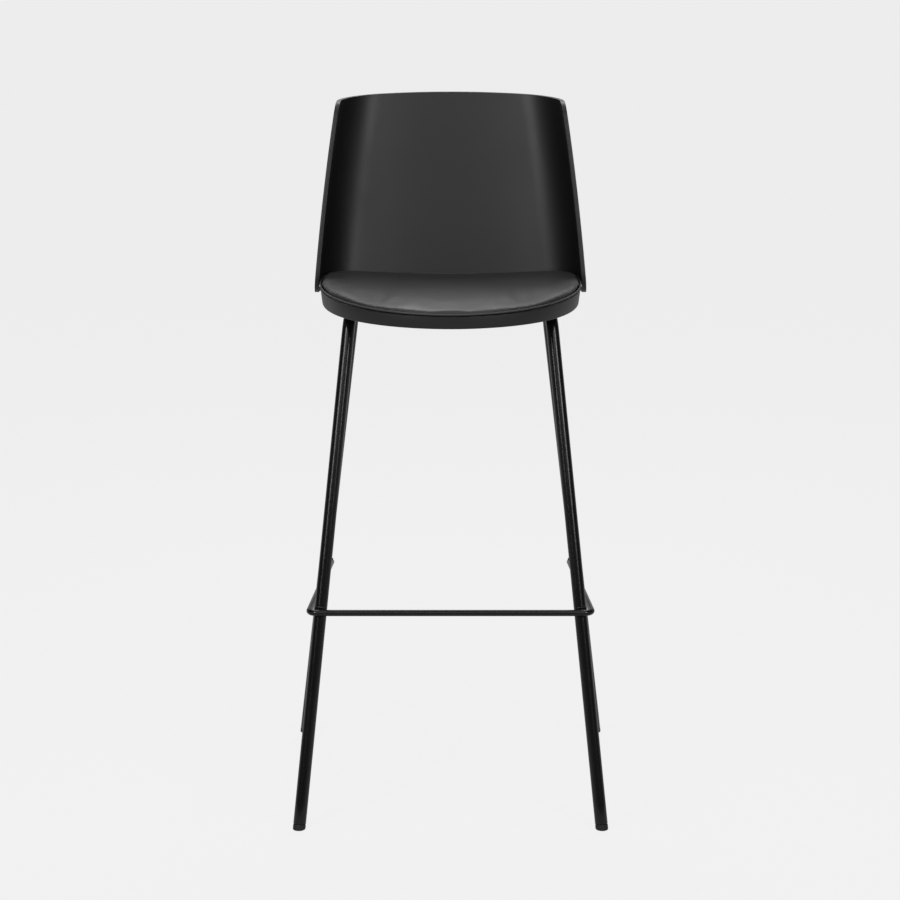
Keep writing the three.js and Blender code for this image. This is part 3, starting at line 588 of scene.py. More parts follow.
def wing_edge(low_steps, edge_steps, high_steps):
    """The wing's front boundary in (y, z), from the lower edge round both corners to the top edge."""
    s = settings("stool_shell")
    low = np.array(s.low_corner)
    high = np.array(s.high_corner)
    lower_back = np.array([s.seat_back, s.rear_low_z])
    upper_back = np.array([high[0] + 0.1, high[1]])
    low_arc = rounded_corner(lower_back, low, high, s.low_round, low_steps)
    high_arc = rounded_corner(low, high, upper_back, s.high_round, high_steps)
    bow = 0.0016  # how far the edge curves forward between its corners
    line = []
    for i in range(1, edge_steps):
        t = i / edge_steps
        line.append(mix(low_arc[-1], high_arc[0], t) - np.array([bow * math.sin(math.pi * t), 0.0]))
    return low_arc + line + high_arc


def plan_sample(line, lengths, distance):
    """Point and outward normal at a distance along a plan line."""
    k = int(np.searchsorted(lengths, distance, side="right")) - 1
    k = max(0, min(k, len(line) - 2))
    t = (distance - lengths[k]) / (lengths[k + 1] - lengths[k])
    return mix(line[k][0], line[k + 1][0], t), unit(mix(line[k][1], line[k + 1][1], t))


def shell_rows():
    """Rows of the middle surface from the left wing's edge to the right's: (point, normal, height)."""
    s = settings("stool_shell")
    boundary = wing_edge(8, 44, 9)
    columns = 56
    rows = []
    for edge_y, edge_z in boundary:
        up = (edge_z - boundary[0][1]) / (boundary[-1][1] - boundary[0][1])
        middle_z = mix(s.rear_low_z, s.top_z, up)
        half = []
        for i in range(columns + 1):
            u = i / columns
            z = mix(middle_z, edge_z, rise_along(u))
            line = shell_half(z, edge_y, (10, 14, 10))
            points = np.array([p for p, _ in line])
            lengths = np.concatenate([[0], np.cumsum(np.linalg.norm(np.diff(points, axis=0), axis=1))])
            p, normal = plan_sample(line, lengths, lengths[-1] * u)
            arch = s.arch_radius - math.sqrt(s.arch_radius**2 - p[0] ** 2)
            half.append((p, normal, z - arch * up**4))
        left = [(p * (-1, 1), normal * (-1, 1), z) for p, normal, z in reversed(half[1:])]
        rows.append(left + half)
    return rows


def rise_along(u):
    """How the rows move from their middle height to their height at the wing's edge."""
    t = max(0.0, min(1.0, (u - 0.25) / 0.6))
    return t * t * (3 - 2 * t)


class StoolBackShell(bpy.types.Operator):
    """Moulds the wrap-round back shell with rounded edges"""

    bl_idname = "stool.back_shell"
    bl_label = "Back shell"

    def execute(self, context):
        s = settings("stool_shell")
        rows = shell_rows()
        width = len(rows[0])
        count = len(rows) * width
        verts = []
        for side in (0.5, -0.5):
            verts += [(*(p + normal * s.thickness * side), z) for row in rows for p, normal, z in row]
        faces = []
        for k in range(len(rows) - 1):
            for i in range(width - 1):
                a = k * width + i
                faces.append((a, a + 1, a + 1 + width, a + width))
                faces.append(tuple(count + v for v in reversed(faces[-1])))
        border = [*range(width), *range(2 * width - 1, count, width),
                  *range(count - 2, count - width - 1, -1), *range(count - 2 * width, 0, -width)]
        faces += [(a, b, count + b, count + a) for a, b in zip(border, border[1:] + border[:1])]
        shell = new_object("back_shell_moulded", verts, faces, MATERIALS["shell_plastic"])
        recalculate(shell)
        bevel(shell, s.edge_round, 3)
        recalculate(shell)
        smooth_by_angle(shell)
        finish_piece(shell, "shell_plastic", "back_shell")
        return {"FINISHED"}


# ------------------------------------------------------------------ seat pan

class StoolSeatPan(bpy.types.Operator):
    """Moulds the seat pan: a drafted tray with a rounded rim, a skirt and screw bosses"""

    bl_idname = "stool.seat_pan"
    bl_label = "Seat pan"

    def execute(self, context):
        s = settings("stool_seat")
        outline = seat_outline((14, 12, 14), 44)
        rim = (s.dish_z, s.dish_rise)
        skirt = (s.skirt_z, s.skirt_rise)
        outer = s.inset
        inner = s.inset + s.wall
        lip = 0.0012
        foot = 0.0016
        floor_top = s.floor_z + s.floor
        turns = (0.5, 1.05, 1.57)
        rings = [level_ring(outline, floor_top, inner + 0.004), level_ring(outline, floor_top, inner)]
        rings.append(dish_ring(outline, *rim, -lip, inner))
        rings += [dish_ring(outline, *rim, -lip * (1 - math.sin(a)), inner - lip * (1 - math.cos(a)))
                  for a in turns]
        rings += [dish_ring(outline, *rim, -lip * (1 - math.cos(a)), outer + lip * (1 - math.sin(a)))
                  for a in (0.0, *turns)]
        rings += [dish_ring(outline, *skirt, foot, outer)]
        rings += [dish_ring(outline, *skirt, foot * (1 - math.sin(a)), outer + foot * (1 - math.cos(a)))
                  for a in (0.4, 0.8, 1.2, 1.57)]
        rings.append(dish_ring(outline, *skirt, 0.0, inner - 0.0006))
        inner_skirt = dish_ring(outline, *skirt, 0.0006, inner)
        rings.append([(x, y, min(z, s.floor_z - 0.0002)) for x, y, z in inner_skirt])
        rings.append(level_ring(outline, s.floor_z, inner))
        rings.append(level_ring(outline, s.floor_z, inner + 0.004))
        verts, faces = rings_to_mesh(rings, capped=True)
        pan = new_object("seat_pan_moulded", verts, faces, MATERIALS["pan_plastic"])
        recalculate(pan)
        for tool in self.bosses():
            boolean(pan, tool, "UNION")
        recalculate(pan)
        smooth_by_angle(pan, 30)
        finish_piece(pan, "pan_plastic", "seat_pan")
        return {"FINISHED"}

    def bosses(self):
        """A boss round each threaded insert, down to the seat plate."""
        s = settings("stool_seat")
        for corner in CORNERS:
            low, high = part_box(f"pan_insert_{corner}")
            centre = (low + high) / 2
            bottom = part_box("seat_plate")[1].z + CLEARANCE
            profile = ((0.0060, bottom), (0.0078, bottom + 0.0006), (0.0085, s.floor_z + 0.0015))
            rings = [circle_ring(centre, radius, z, 36) for radius, z in profile]
            verts, faces = rings_to_mesh(rings, capped=True)
            boss = new_object("boss_tool", verts, faces, MATERIALS["pan_plastic"])
            yield recalculate(boss)


def circle_ring(centre, radius, z, count):
    return [(centre.x + radius * math.cos(2 * math.pi * i / count),
             centre.y + radius * math.sin(2 * math.pi * i / count), z) for i in range(count)]


# ------------------------------------------------------------------ seat pad

def pad_rings(outline, skin, roll_steps):
    """Rings of the pad's closed form, shrunk by skin, from the plug's foot to the top's edge."""
    s = settings("stool_seat")
    dish = (s.dish_z, s.dish_rise)
    rings = [level_ring(outline, s.plug_z + skin, s.plug_inset + skin)]
    rings.append(dish_ring(outline, *dish, s.rim_gap + skin, s.plug_inset + skin))
    rings.append(dish_ring(outline, *dish, s.rim_gap + skin, s.overhang + skin))
    for k in range(roll_steps + 1):
        angle = math.pi / 2 * k / roll_steps
        inset = s.overhang + skin + s.roll * (1 - math.cos(angle))
        foot = dish_ring(outline, *dish, s.rim_gap + s.edge, inset)
        rings.append([(x, y, mix(z, pad_top(x, y) - skin, math.sin(angle))) for x, y, z in foot])
    return rings


def closed_pad(name, skin):
    """The pad as a closed mesh whose top is filled by shrinking rings towards its middle line."""
    outline = seat_outline((16, 12, 12), 40)
    rings = pad_rings(outline, skin, 8)
    last = rings[-1]
    heart = np.array([0.0, -0.03])
    inner_steps = 14
    for k in range(1, inner_steps + 1):
        t = 1 - k / (inner_steps + 0.6)
        ring = []
        for x, y, _ in last:
            px = heart[0] + (x - heart[0]) * t
            py = heart[1] + (y - heart[1]) * t
            ring.append((px, py, pad_top(px, py) - skin))
        rings.append(ring)
    verts, faces = rings_to_mesh(rings, capped=True)
    return recalculate(new_object(name, verts, faces, MATERIALS["cover"]))


def blow_up(obj, voxel, pressure, frames, pin_below):
    """Swells a closed mesh by cloth pressure; points under pin_below(x, y) stay where they are."""
    remesh = obj.modifiers.new("remesh", "REMESH")
    remesh.mode = "VOXEL"
    remesh.voxel_size = voxel
    bake_modifiers(obj)
    recalculate(obj)
    rest = np.array([v.co[:] for v in obj.data.vertices])
    pins = obj.vertex_groups.new(name="pins")
    held = [i for i, (x, y, z) in enumerate(rest) if z < pin_below(x, y)]
    pins.add(held, 1.0, "REPLACE")
    cloth = obj.modifiers.new("cloth", "CLOTH")
    cloth.settings.quality = 6
    cloth.settings.mass = 0.4
    cloth.settings.tension_stiffness = 25
    cloth.settings.compression_stiffness = 25
    cloth.settings.shear_stiffness = 12
    cloth.settings.bending_stiffness = 6
    cloth.settings.use_pressure = True
    cloth.settings.uniform_pressure_force = pressure
    cloth.settings.effector_weights.gravity = 0.0
    cloth.settings.vertex_group_mass = "pins"
    cloth.point_cache.frame_start = 1
    cloth.point_cache.frame_end = frames
    scene = bpy.context.scene
    for number in range(1, frames + 1):
        scene.frame_set(number)
    bake_modifiers(obj)
    scene.frame_set(1)
    moved = np.array([v.co[:] for v in obj.data.vertices])
    return rest, moved


def cap_movement(obj, rest, moved, cap):
    shift = moved - rest
    size = np.linalg.norm(shift, axis=1)
    scale = np.where(size > 1e-9, cap * np.tanh(size / cap) / np.maximum(size, 1e-9), 0.0)
    obj.data.vertices.foreach_set("co", (rest + shift * scale[:, None]).ravel())
    obj.data.update()


class StoolSeatPad(bpy.types.Operator):
    """Sews the seat pad: cloth blown up over the foam, with a piped lower edge"""

    bl_idname = "stool.seat_pad"
    bl_label = "Seat pad"

    def execute(self, context):
        s = settings("stool_seat")
        pad = closed_pad("seat_pad_cover", s.swell * 0.55)
        rest, moved = blow_up(
            pad, voxel=0.0045, pressure=4.0, frames=20,
            pin_below=lambda x, y: rim_height(x) + s.rim_gap + s.swell,
        )
        cap_movement(pad, rest, moved, s.swell)
        smooth = pad.modifiers.new("even", "SMOOTH")
        smooth.factor = 0.5
        smooth.iterations = 6
        sub = pad.modifiers.new("fine", "SUBSURF")
        sub.levels = 1
        sub.render_levels = 1
        bake_modifiers(pad)
        recalculate(pad)
        pad.data.shade_smooth()
        finish_piece(pad, "cover", "seat_cover", "seat_foam")

        outline = seat_outline((16, 12, 12), 60)
        piping_in = 0.0014
        ring = dish_ring(outline, s.dish_z, s.dish_rise, s.rim_gap + piping_in, s.overhang + piping_in)
        verts, faces = sweep_mesh([Vector(p) for p in ring], 0.0013, 12, closed=True)
        piping = new_object("seat_pad_piping", verts, faces, MATERIALS["cover"])
        recalculate(piping)
        finish_piece(piping, "cover")
        return {"FINISHED"}


# ------------------------------------------------------------------ tube frame

def sweep_mesh(points, radius, sides, closed=False, bore=0.0):
    """A round rod or tube along points, with its ends closed; bore hollows it right through."""
    count = len(points)
    tangents = []
    for i, p in enumerate(points):
        ahead = points[(i + 1) % count] if closed or i < count - 1 else p
        behind = points[i - 1] if closed or i > 0 else p
        tangents.append((ahead - behind).normalized())
    side = tangents[0].orthogonal().normalized()
    frames = []
    for tangent in tangents:
        side = (side - tangent * side.dot(tangent)).normalized()
        frames.append((side, tangent.cross(side)))
    if closed:
        first, last = frames[0][0], frames[-1][0]
        carried = (last - tangents[0] * last.dot(tangents[0])).normalized()
        twist = math.atan2(frames[0][1].dot(carried), first.dot(carried))
    else:
        twist = 0.0

    def ring(i, r):
        a, b = frames[i]
        turn = -twist * i / count
        return [points[i] + r * (a * math.cos(turn + 2 * math.pi * k / sides)
                                 + b * math.sin(turn + 2 * math.pi * k / sides)) for k in range(sides)]

    rings = [ring(i, radius) for i in range(count)]
    if bore > 0:
        rings += [ring(i, bore) for i in reversed(range(count))]
    verts, faces = rings_to_mesh(rings, closed_rings=closed or bore > 0)
    if not closed and bore == 0:
        faces.append(tuple(reversed(range(sides))))
        faces.append(tuple(range(len(verts) - sides, len(verts))))
    return verts, faces


def bent_path(corners, radius, bend_steps, spacing=0.03):
    """Points of straight runs joined by tangent arcs."""
    points = [corners[0]]
    for before, corner, after in zip(corners, corners[1:], corners[2:]):
        back = (before - corner).normalized()
        ahead = (after - corner).normalized()
        half = back.angle(ahead) / 2
        start = corner + back * (radius / math.tan(half))
        end = corner + ahead * (radius / math.tan(half))
        centre = corner + (back + ahead).normalized() * (radius / math.sin(half))
        turn = math.pi - 2 * half
        for i in range(bend_steps + 1):
            u = i / bend_steps
            a = math.sin((1 - u) * turn) / math.sin(turn)
            b = math.sin(u * turn) / math.sin(turn)
            points.append(centre + (start - centre) * a + (end - centre) * b)
    points.append(corners[-1])
    filled = [points[0]]
    for p in points[1:]:
        gap = (p - filled[-1]).length
        pieces = max(1, int(gap / spacing))
        start = filled[-1]
        filled += [start.lerp(p, i / pieces) for i in range(1, pieces + 1)]
    return filled


def mount_place(name):
    for mount in frame["record"]["mounts"]:
        if mount["name"] == name:
            return Vector(mount["pos_m"])
    raise ValueError(f"the record has no mount {name}")


def leg_line(end, sign):
    """Foot and top of a leg's axis."""
    s = settings("stool_frame")
    side = "left" if sign < 0 else "right"
    x, y = s.front_top if end == "front" else s.rear_top
    return mount_place(f"foot_{end}_{side}"), Vector((sign * x, y, s.top_z))


def leg_axis(end, sign):
    foot, top = leg_line(end, sign)
    return (top - foot).normalized()


def leg_at(end, sign, z):
    foot, top = leg_line(end, sign)
    return foot.lerp(top, z / top.z)


def tube_radius():
    low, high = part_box("cross_tube")
    return (high.z - low.z) / 2


def rod_radius():
    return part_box("footrest")[1].z - settings("stool_frame").bar_z


class StoolTubeFrame(bpy.types.Operator):
    """Bends the leg hoops and sets the cross tube between them"""

    bl_idname = "stool.tube_frame"
    bl_label = "Tube frame"

    def execute(self, context):
        s = settings("stool_frame")
        radius = tube_radius()
        bore = radius - s.wall
        for side, sign in SIDES:
            corners = []
            for end in ENDS:
                foot, top = leg_line(end, sign)
                lifted = foot + leg_axis(end, sign) * s.glide_height
                corners += [lifted, top] if end == "front" else [top, lifted]
            path = bent_path(corners, s.bend_radius, 14)
            verts, faces = sweep_mesh(path, radius, 40, bore=bore)
            hoop = new_object(f"leg_hoop_{side}_tube", verts, faces, MATERIALS["frame_steel"])
            recalculate(hoop)
            bevel(hoop, 0.0004, 2, 60)
            smooth_by_angle(hoop, 40)
            finish_piece(hoop, "frame_steel", f"leg_hoop_{side}")
        low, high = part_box("cross_tube")
        middle = (low + high) / 2
        path = [Vector((low.x, middle.y, middle.z)), Vector((high.x, middle.y, middle.z))]
        verts, faces = sweep_mesh(path, radius, 40, bore=bore)
        tube = new_object("cross_tube_round", verts, faces, MATERIALS["frame_steel"])
        recalculate(tube)
        smooth_by_angle(tube, 40)
        finish_piece(tube, "frame_steel", "cross_tube")
        return {"FINISHED"}


def beside_leg(rod_direction, leg_direction, axis, distance):
    """How far along x (axis 0) or y (axis 1) a rod's axis is from a leg's, at a given clear distance."""
    across = rod_direction.cross(leg_direction).normalized()
    return distance / abs(across[axis])


def footrest_corners():
    """The right half of the footrest's axis: its front corner and its rear end."""
    s = settings("stool_frame")
    tube = tube_radius()
    rod = rod_radius()
    touch = tube + rod + CLEARANCE
    front_axis = leg_axis("front", 1)
    rear_axis = leg_axis("rear", 1)
    front_leg = leg_at("front", 1, s.bar_z)
    rear_leg = leg_at("rear", 1, s.bar_z + rod)
    rear_face = math.sqrt(tube**2 - (tube - rod) ** 2) / rear_axis.z
    end = Vector((rear_leg.x - tube, rear_leg.y - rear_face - CLEARANCE, s.bar_z))
    beside = touch + s.bar_side_gap
    along = (end - front_leg - Vector((beside, 0, 0))).normalized()
    outside = front_leg + Vector((beside_leg(along, front_axis, 0, beside), 0, 0))
    bar_y = front_leg.y - beside_leg(Vector((1, 0, 0)), front_axis, 1, touch)
    corner = end.lerp(outside, (bar_y - end.y) / (outside.y - end.y))
    return corner, end


class StoolFootrest(bpy.types.Operator):
    """Bends the footrest rod round the front legs"""

    bl_idname = "stool.footrest"
    bl_label = "Footrest"

    def execute(self, context):
        s = settings("stool_frame")
        corner, end = footrest_corners()
        flip = Vector((-1, 1, 1))
        path = bent_path([end * flip, corner * flip, corner, end], s.bar_bend, 12)
        verts, faces = sweep_mesh(path, rod_radius(), 28)
        rod = new_object("footrest_rod", verts, faces, MATERIALS["frame_steel"])
        recalculate(rod)
        bevel(rod, 0.0009, 3, 60)
        smooth_by_angle(rod, 40)
        finish_piece(rod, "frame_steel", "footrest")
        return {"FINISHED"}


class StoolGlides(bpy.types.Operator):
    """Turns the four foot glides, each cut flat on the floor"""

    bl_idname = "stool.glides"
    bl_label = "Foot glides"

    def execute(self, context):
        s = settings("stool_frame")
        radius = tube_radius()
        for side, sign in SIDES:
            for end in ENDS:
                foot = leg_line(end, sign)[0]
                axis = leg_axis(end, sign)
                a = axis.orthogonal().normalized()
                b = axis.cross(a)
                stem = radius - s.wall - 0.0004
                head_top = s.glide_height - CLEARANCE
                profile = [(stem, 0.030), (stem, head_top), (radius - 0.0008, head_top),
                           (radius, head_top - 0.0008)]
                rings = [self.ring(foot, axis, a, b, r, h) for r, h in profile]
                for drop in (0.0, 0.45, 0.9, 1.3, 1.57):
                    soft = 0.0016
                    r = radius - soft * (1 - math.cos(drop))
                    z = soft * (1 - math.sin(drop))
                    rings.append(self.floor_ring(foot, axis, a, b, r, z))
                verts, faces = rings_to_mesh(rings, capped=True)
                glide = new_object(f"glide_{end}_{side}_plug", verts, faces, MATERIALS["glide"])
                recalculate(glide)
                smooth_by_angle(glide, 40)
                finish_piece(glide, "glide", f"glide_{end}_{side}")
        return {"FINISHED"}

    @staticmethod
    def ring(foot, axis, a, b, radius, height, count=40):
        turns = [2 * math.pi * i / count for i in range(count)]
        return [foot + axis * height + radius * (a * math.cos(t) + b * math.sin(t)) for t in turns]

    @staticmethod
    def floor_ring(foot, axis, a, b, radius, z, count=40):
        """The ring where the leaning cylinder crosses a level plane."""
        ring = []
        for i in range(count):
            t = 2 * math.pi * i / count
            spoke = foot + radius * (a * math.cos(t) + b * math.sin(t))
            ring.append(spoke + axis * ((z - spoke.z) / axis.z))
        return ring


class StoolSeatPlate(bpy.types.Operator):
    """Cuts the steel seat plate with rounded corners and screw holes"""

    bl_idname = "stool.seat_plate"
    bl_label = "Seat plate"

    def execute(self, context):
        low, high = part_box("seat_plate")
        radius = 0.018
        outline = []
        for quarter, (side_x, side_y) in enumerate(((1, 1), (-1, 1), (-1, -1), (1, -1))):
            x = side_x * (high.x - radius)
            y = side_y * (high.y - radius)
            for i in range(9):
                angle = math.pi / 2 * (quarter + i / 8)
                outline.append((x + radius * math.cos(angle), y + radius * math.sin(angle)))
        rings = [[(x, y, z) for x, y in outline] for z in (low.z, high.z)]
        verts, faces = rings_to_mesh(rings, capped=True)
        plate = recalculate(new_object("seat_plate_steel", verts, faces, MATERIALS["frame_steel"]))
        for corner in CORNERS:
            a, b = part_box(f"plate_screw_{corner}")
            centre = (a + b) / 2
            rings = [circle_ring(centre, SCREW_HOLE_R, z, 28) for z in (low.z - 0.01, high.z + 0.01)]
            verts, faces = rings_to_mesh(rings, capped=True)
            hole = recalculate(new_object("hole_tool", verts, faces, MATERIALS["frame_steel"]))
            boolean(plate, hole, "DIFFERENCE")
        bevel(plate, 0.0005, 2, 50)
        recalculate(plate)
        smooth_by_angle(plate, 40)
        finish_piece(plate, "frame_steel", "seat_plate")
        return {"FINISHED"}


# ------------------------------------------------------------------ repeated hardware by geometry nodes

def geometry_tree(name, inputs):
    geometry = ("Geometry", "NodeSocketGeometry")
    return group_tree("GeometryNodeTree", name, [(*geometry, None), *inputs], [geometry])


def end_tree(tree, node, output):
    """Realizes the instances and sets the material, the last steps of every tree."""
    realize = add_node(tree, "GeometryNodeRealizeInstances")
    paint = add_node(tree, "GeometryNodeSetMaterial")
    link(tree, node, output, realize, "Geometry")
    link(tree, realize, "Geometry", paint, "Geometry")
    link(tree, tree.nodes["in"], "Material", paint, "Material")
    link(tree, paint, "Geometry", tree.nodes["out"], "Geometry")


def run_tree(obj, tree, **values):
    """Adds the tree as a modifier, sets its named inputs and makes the result a plain mesh."""
    mod = obj.modifiers.new(tree.name, "NODES")
    mod.node_group = tree
    sockets = {item.name: item.identifier for item in tree.interface.items_tree
               if item.item_type == "SOCKET" and item.in_out == "INPUT"}
    for key, value in values.items():
        mod[sockets[key.replace("_", " ")]] = value
    return bake_modifiers(obj)


def button_screw_tree():
    """Button-head screws with a hexagon socket, one at each point, head down."""
    tree = geometry_tree("stool_button_screws", [
        ("Head radius", "NodeSocketFloat", 0.005), ("Head height", "NodeSocketFloat", 0.003),
        ("Shank radius", "NodeSocketFloat", 0.003), ("Shank length", "NodeSocketFloat", 0.012),
        ("Material", "NodeSocketMaterial", None),
    ])
    source = tree.nodes["in"]
    dome = add_node(tree, "GeometryNodeMeshUVSphere", {"Segments": 32, "Rings": 16, "Radius": 1.0})
    squash = add_node(tree, "ShaderNodeCombineXYZ")
    shape = add_node(tree, "GeometryNodeTransform")
    link(tree, source, "Head radius", squash, "X")
    link(tree, source, "Head radius", squash, "Y")
    link(tree, source, "Head height", squash, "Z")
    link(tree, dome, "Mesh", shape, "Geometry")
    link(tree, squash, "Vector", shape, "Scale")
    blank = add_node(tree, "GeometryNodeMeshCube", {"Size": (0.1, 0.1, 0.1)})
    above = add_node(tree, "GeometryNodeTransform", {"Translation": (0.0, 0.0, 0.05)})
    link(tree, blank, "Mesh", above, "Geometry")
    socket = add_node(tree, "GeometryNodeMeshCylinder", {"Vertices": 6})
    width = times(tree, source, "Head radius", 0.42)
    depth = times(tree, source, "Head height", 1.2)
    drop = times(tree, source, "Head height", -1.05)
    down = add_node(tree, "ShaderNodeCombineXYZ")
    sunk = add_node(tree, "GeometryNodeTransform")
    link(tree, width, 0, socket, "Radius")
    link(tree, depth, 0, socket, "Depth")
    link(tree, drop, 0, down, "Z")
    link(tree, socket, "Mesh", sunk, "Geometry")
    link(tree, down, "Vector", sunk, "Translation")
    carve = add_node(tree, "GeometryNodeMeshBoolean", operation="DIFFERENCE")
    link(tree, shape, "Geometry", carve, "Mesh 1")
    link(tree, above, "Geometry", carve, "Mesh 2")
    link(tree, sunk, "Geometry", carve, "Mesh 2")
    shank = add_node(tree, "GeometryNodeMeshCylinder", {"Vertices": 24})
    middle = times(tree, source, "Shank length", 0.5)
    lift = add_node(tree, "ShaderNodeCombineXYZ")
    raised = add_node(tree, "GeometryNodeTransform")
    link(tree, source, "Shank radius", shank, "Radius")
    link(tree, source, "Shank length", shank, "Depth")
    link(tree, middle, 0, lift, "Z")
    link(tree, shank, "Mesh", raised, "Geometry")
    link(tree, lift, "Vector", raised, "Translation")
    both = add_node(tree, "GeometryNodeJoinGeometry")
    link(tree, carve, "Mesh", both, "Geometry")
    link(tree, raised, "Geometry", both, "Geometry")
    spots = add_node(tree, "GeometryNodeMeshToPoints")
    put = add_node(tree, "GeometryNodeInstanceOnPoints")
    link(tree, source, "Geometry", spots, "Mesh")
    link(tree, spots, "Points", put, "Points")
    link(tree, both, "Geometry", put, "Instance")
    end_tree(tree, put, "Instances")
    return tree


def weld_tree():
    """A weld bead: overlapping scales set along each edge path."""
    tree = geometry_tree("stool_weld_bead", [
        ("Scale radius", "NodeSocketFloat", 0.002), ("Spacing", "NodeSocketFloat", 0.0012),
        ("Seed", "NodeSocketInt", 4), ("Material", "NodeSocketMaterial", None),
    ])
    source = tree.nodes["in"]
    path = add_node(tree, "GeometryNodeMeshToCurve")
    even = add_node(tree, "GeometryNodeResampleCurve", mode="LENGTH")
    spots = add_node(tree, "GeometryNodeCurveToPoints", mode="EVALUATED")
    scale = add_node(tree, "GeometryNodeMeshIcoSphere", {"Subdivisions": 2})
    jitter = add_node(tree, "FunctionNodeRandomValue", {"Min": (0.85, 0.85, 0.8), "Max": (1.1, 1.1, 1.05)},
                      data_type="FLOAT_VECTOR")
    put = add_node(tree, "GeometryNodeInstanceOnPoints")
    link(tree, source, "Geometry", path, "Mesh")
    link(tree, path, "Curve", even, "Curve")
    link(tree, source, "Spacing", even, "Length")
    link(tree, even, "Curve", spots, "Curve")
    link(tree, source, "Scale radius", scale, "Radius")
    link(tree, source, "Seed", jitter, "Seed")
    link(tree, spots, "Points", put, "Points")
    link(tree, scale, "Mesh", put, "Instance")
    link(tree, jitter, 0, put, "Scale")
    end_tree(tree, put, "Instances")
    return tree


def point_object(name, points, edges=()):
    mesh = bpy.data.meshes.new(name)
    mesh.from_pydata([tuple(p) for p in points], list(edges), [])
    obj = bpy.data.objects.new(name, mesh)
    bpy.context.scene.collection.objects.link(obj)
    return obj


class StoolScrews(bpy.types.Operator):
    """Sets the screws and washers that show under the seat"""

    bl_idname = "stool.screws"
    bl_label = "Screws and washers"

    def execute(self, context):
        tree = button_screw_tree()
        for kind, head, shank in (("plate_screw", 0.0033, 0.003), ("pad_screw", 0.0027, 0.0025)):
            boxes = [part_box(f"{kind}_{corner}") for corner in CORNERS]
            low, high = boxes[0]
            seats = [((a.x + b.x) / 2, (a.y + b.y) / 2, a.z + head) for a, b in boxes]
            screws = point_object(f"{kind}s_turned", seats)
            run_tree(screws, tree, Head_radius=(high.y - low.y) / 2, Head_height=head, Shank_radius=shank,
                     Shank_length=high.z - low.z - head, Material=MATERIALS["zinc_steel"])
            recalculate(screws)
            smooth_by_angle(screws, 30)
            finish_piece(screws, "zinc_steel", *[f"{kind}_{corner}" for corner in CORNERS])
        for corner in CORNERS:
            low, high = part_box(f"plate_washer_{corner}")
            centre = (low + high) / 2
            outer = (high.x - low.x) / 2
            soft = 0.00025
            profile = ((SCREW_HOLE_R, low.z), (outer - soft, low.z), (outer, low.z + soft),
                       (outer, high.z - soft), (outer - soft, high.z), (SCREW_HOLE_R, high.z))
            rings = [circle_ring(centre, r, z, 36) for r, z in profile]
            verts, faces = rings_to_mesh(rings, closed_rings=True)
            washer = new_object(f"plate_washer_{corner}_flat", verts, faces, MATERIALS["zinc_steel"])
            recalculate(washer)
            smooth_by_angle(washer, 30)
            finish_piece(washer, "zinc_steel", f"plate_washer_{corner}")
        return {"FINISHED"}


def contact_arc(point, axis, away, radius, turn, steps=14):
    """Points on part of a circle round an axis, centred on the direction away."""
    away = (away - axis * away.dot(axis)).normalized()
    across = axis.cross(away)
    angles = [turn * (i / steps - 0.5) for i in range(steps + 1)]
    return [point + radius * (away * math.cos(a) + across * math.sin(a)) for a in angles]


class StoolWelds(bpy.types.Operator):
    """Lays the weld beads where rods and tubes meet"""

    bl_idname = "stool.welds"
    bl_label = "Weld beads"

    def execute(self, context):
        s = settings("stool_frame")
        points = []
        edges = []

        def add_path(path):
            start = len(points)
            points.extend(path)
            edges.extend((start + i, start + i + 1) for i in range(len(path) - 1))

        tube = tube_radius()
        rod = rod_radius()
        rod_corner, rod_end = footrest_corners()
        for _, sign in SIDES:
            leg = leg_at("front", sign, s.bar_z)
            axis = leg_axis("front", sign)
            for step in (-1, 1):
                centre = leg + axis * (step * rod * 0.86 / axis.z)
                add_path(contact_arc(centre, axis, Vector((0, -1, 0)), tube + rod * 0.10, 0.95))
            flip = Vector((sign, 1, 1))
            along = ((rod_end - rod_corner) * flip).normalized()
            add_path(contact_arc(rod_end * flip, along, Vector((sign, 0, 0)), rod * 0.92, 3.6, 20))
            low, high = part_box("cross_tube")
            middle = (low + high) / 2
            face = Vector(((high.x + 0.0008) * sign, middle.y, middle.z))
            add_path(contact_arc(face, Vector((1, 0, 0)), Vector((0, 0, -1)), tube - 0.0002, 5.2, 40))
        beads = point_object("weld_beads", points, edges)
        run_tree(beads, weld_tree(), Scale_radius=s.weld_size / 2, Spacing=0.0013, Seed=4,
                 Material=MATERIALS["frame_steel"])
        beads.data.shade_smooth()
        finish_piece(beads, "frame_steel")
        return {"FINISHED"}


# ------------------------------------------------------------------ stage, camera and light

STOOL_MIDDLE = (0.0, 0.0, 0.62)
# name, place, aim, size in metres, power in watts
SOFTBOXES = (
    ("softbox_left", (-1.55, -1.85, 1.80), STOOL_MIDDLE, (0.55, 1.3), 24.0),
    ("softbox_right", (1.55, -1.95, 1.80), STOOL_MIDDLE, (0.55, 1.3), 22.0),
    ("softbox_top", (0.0, -0.35, 2.9), (0.0, -0.1, 0.7), (1.6, 1.4), 10.0),
    ("softbox_front", (0.0, -3.0, 2.25), (0.0, 0.0, 0.9), (2.4, 0.8), 14.0),
    ("softbox_rear", (0.0, 1.5, 2.5), (0.0, -0.05, 0.78), (2.2, 1.0), 34.0),
)
CAMERA_PLACE = (0.0, -4.3564, 1.5225)
CAMERA_PITCH = 12.861  # degrees downwards
CAMERA_LENS = 116.72
CAMERA_SHIFT = (-0.00056, 0.00056)


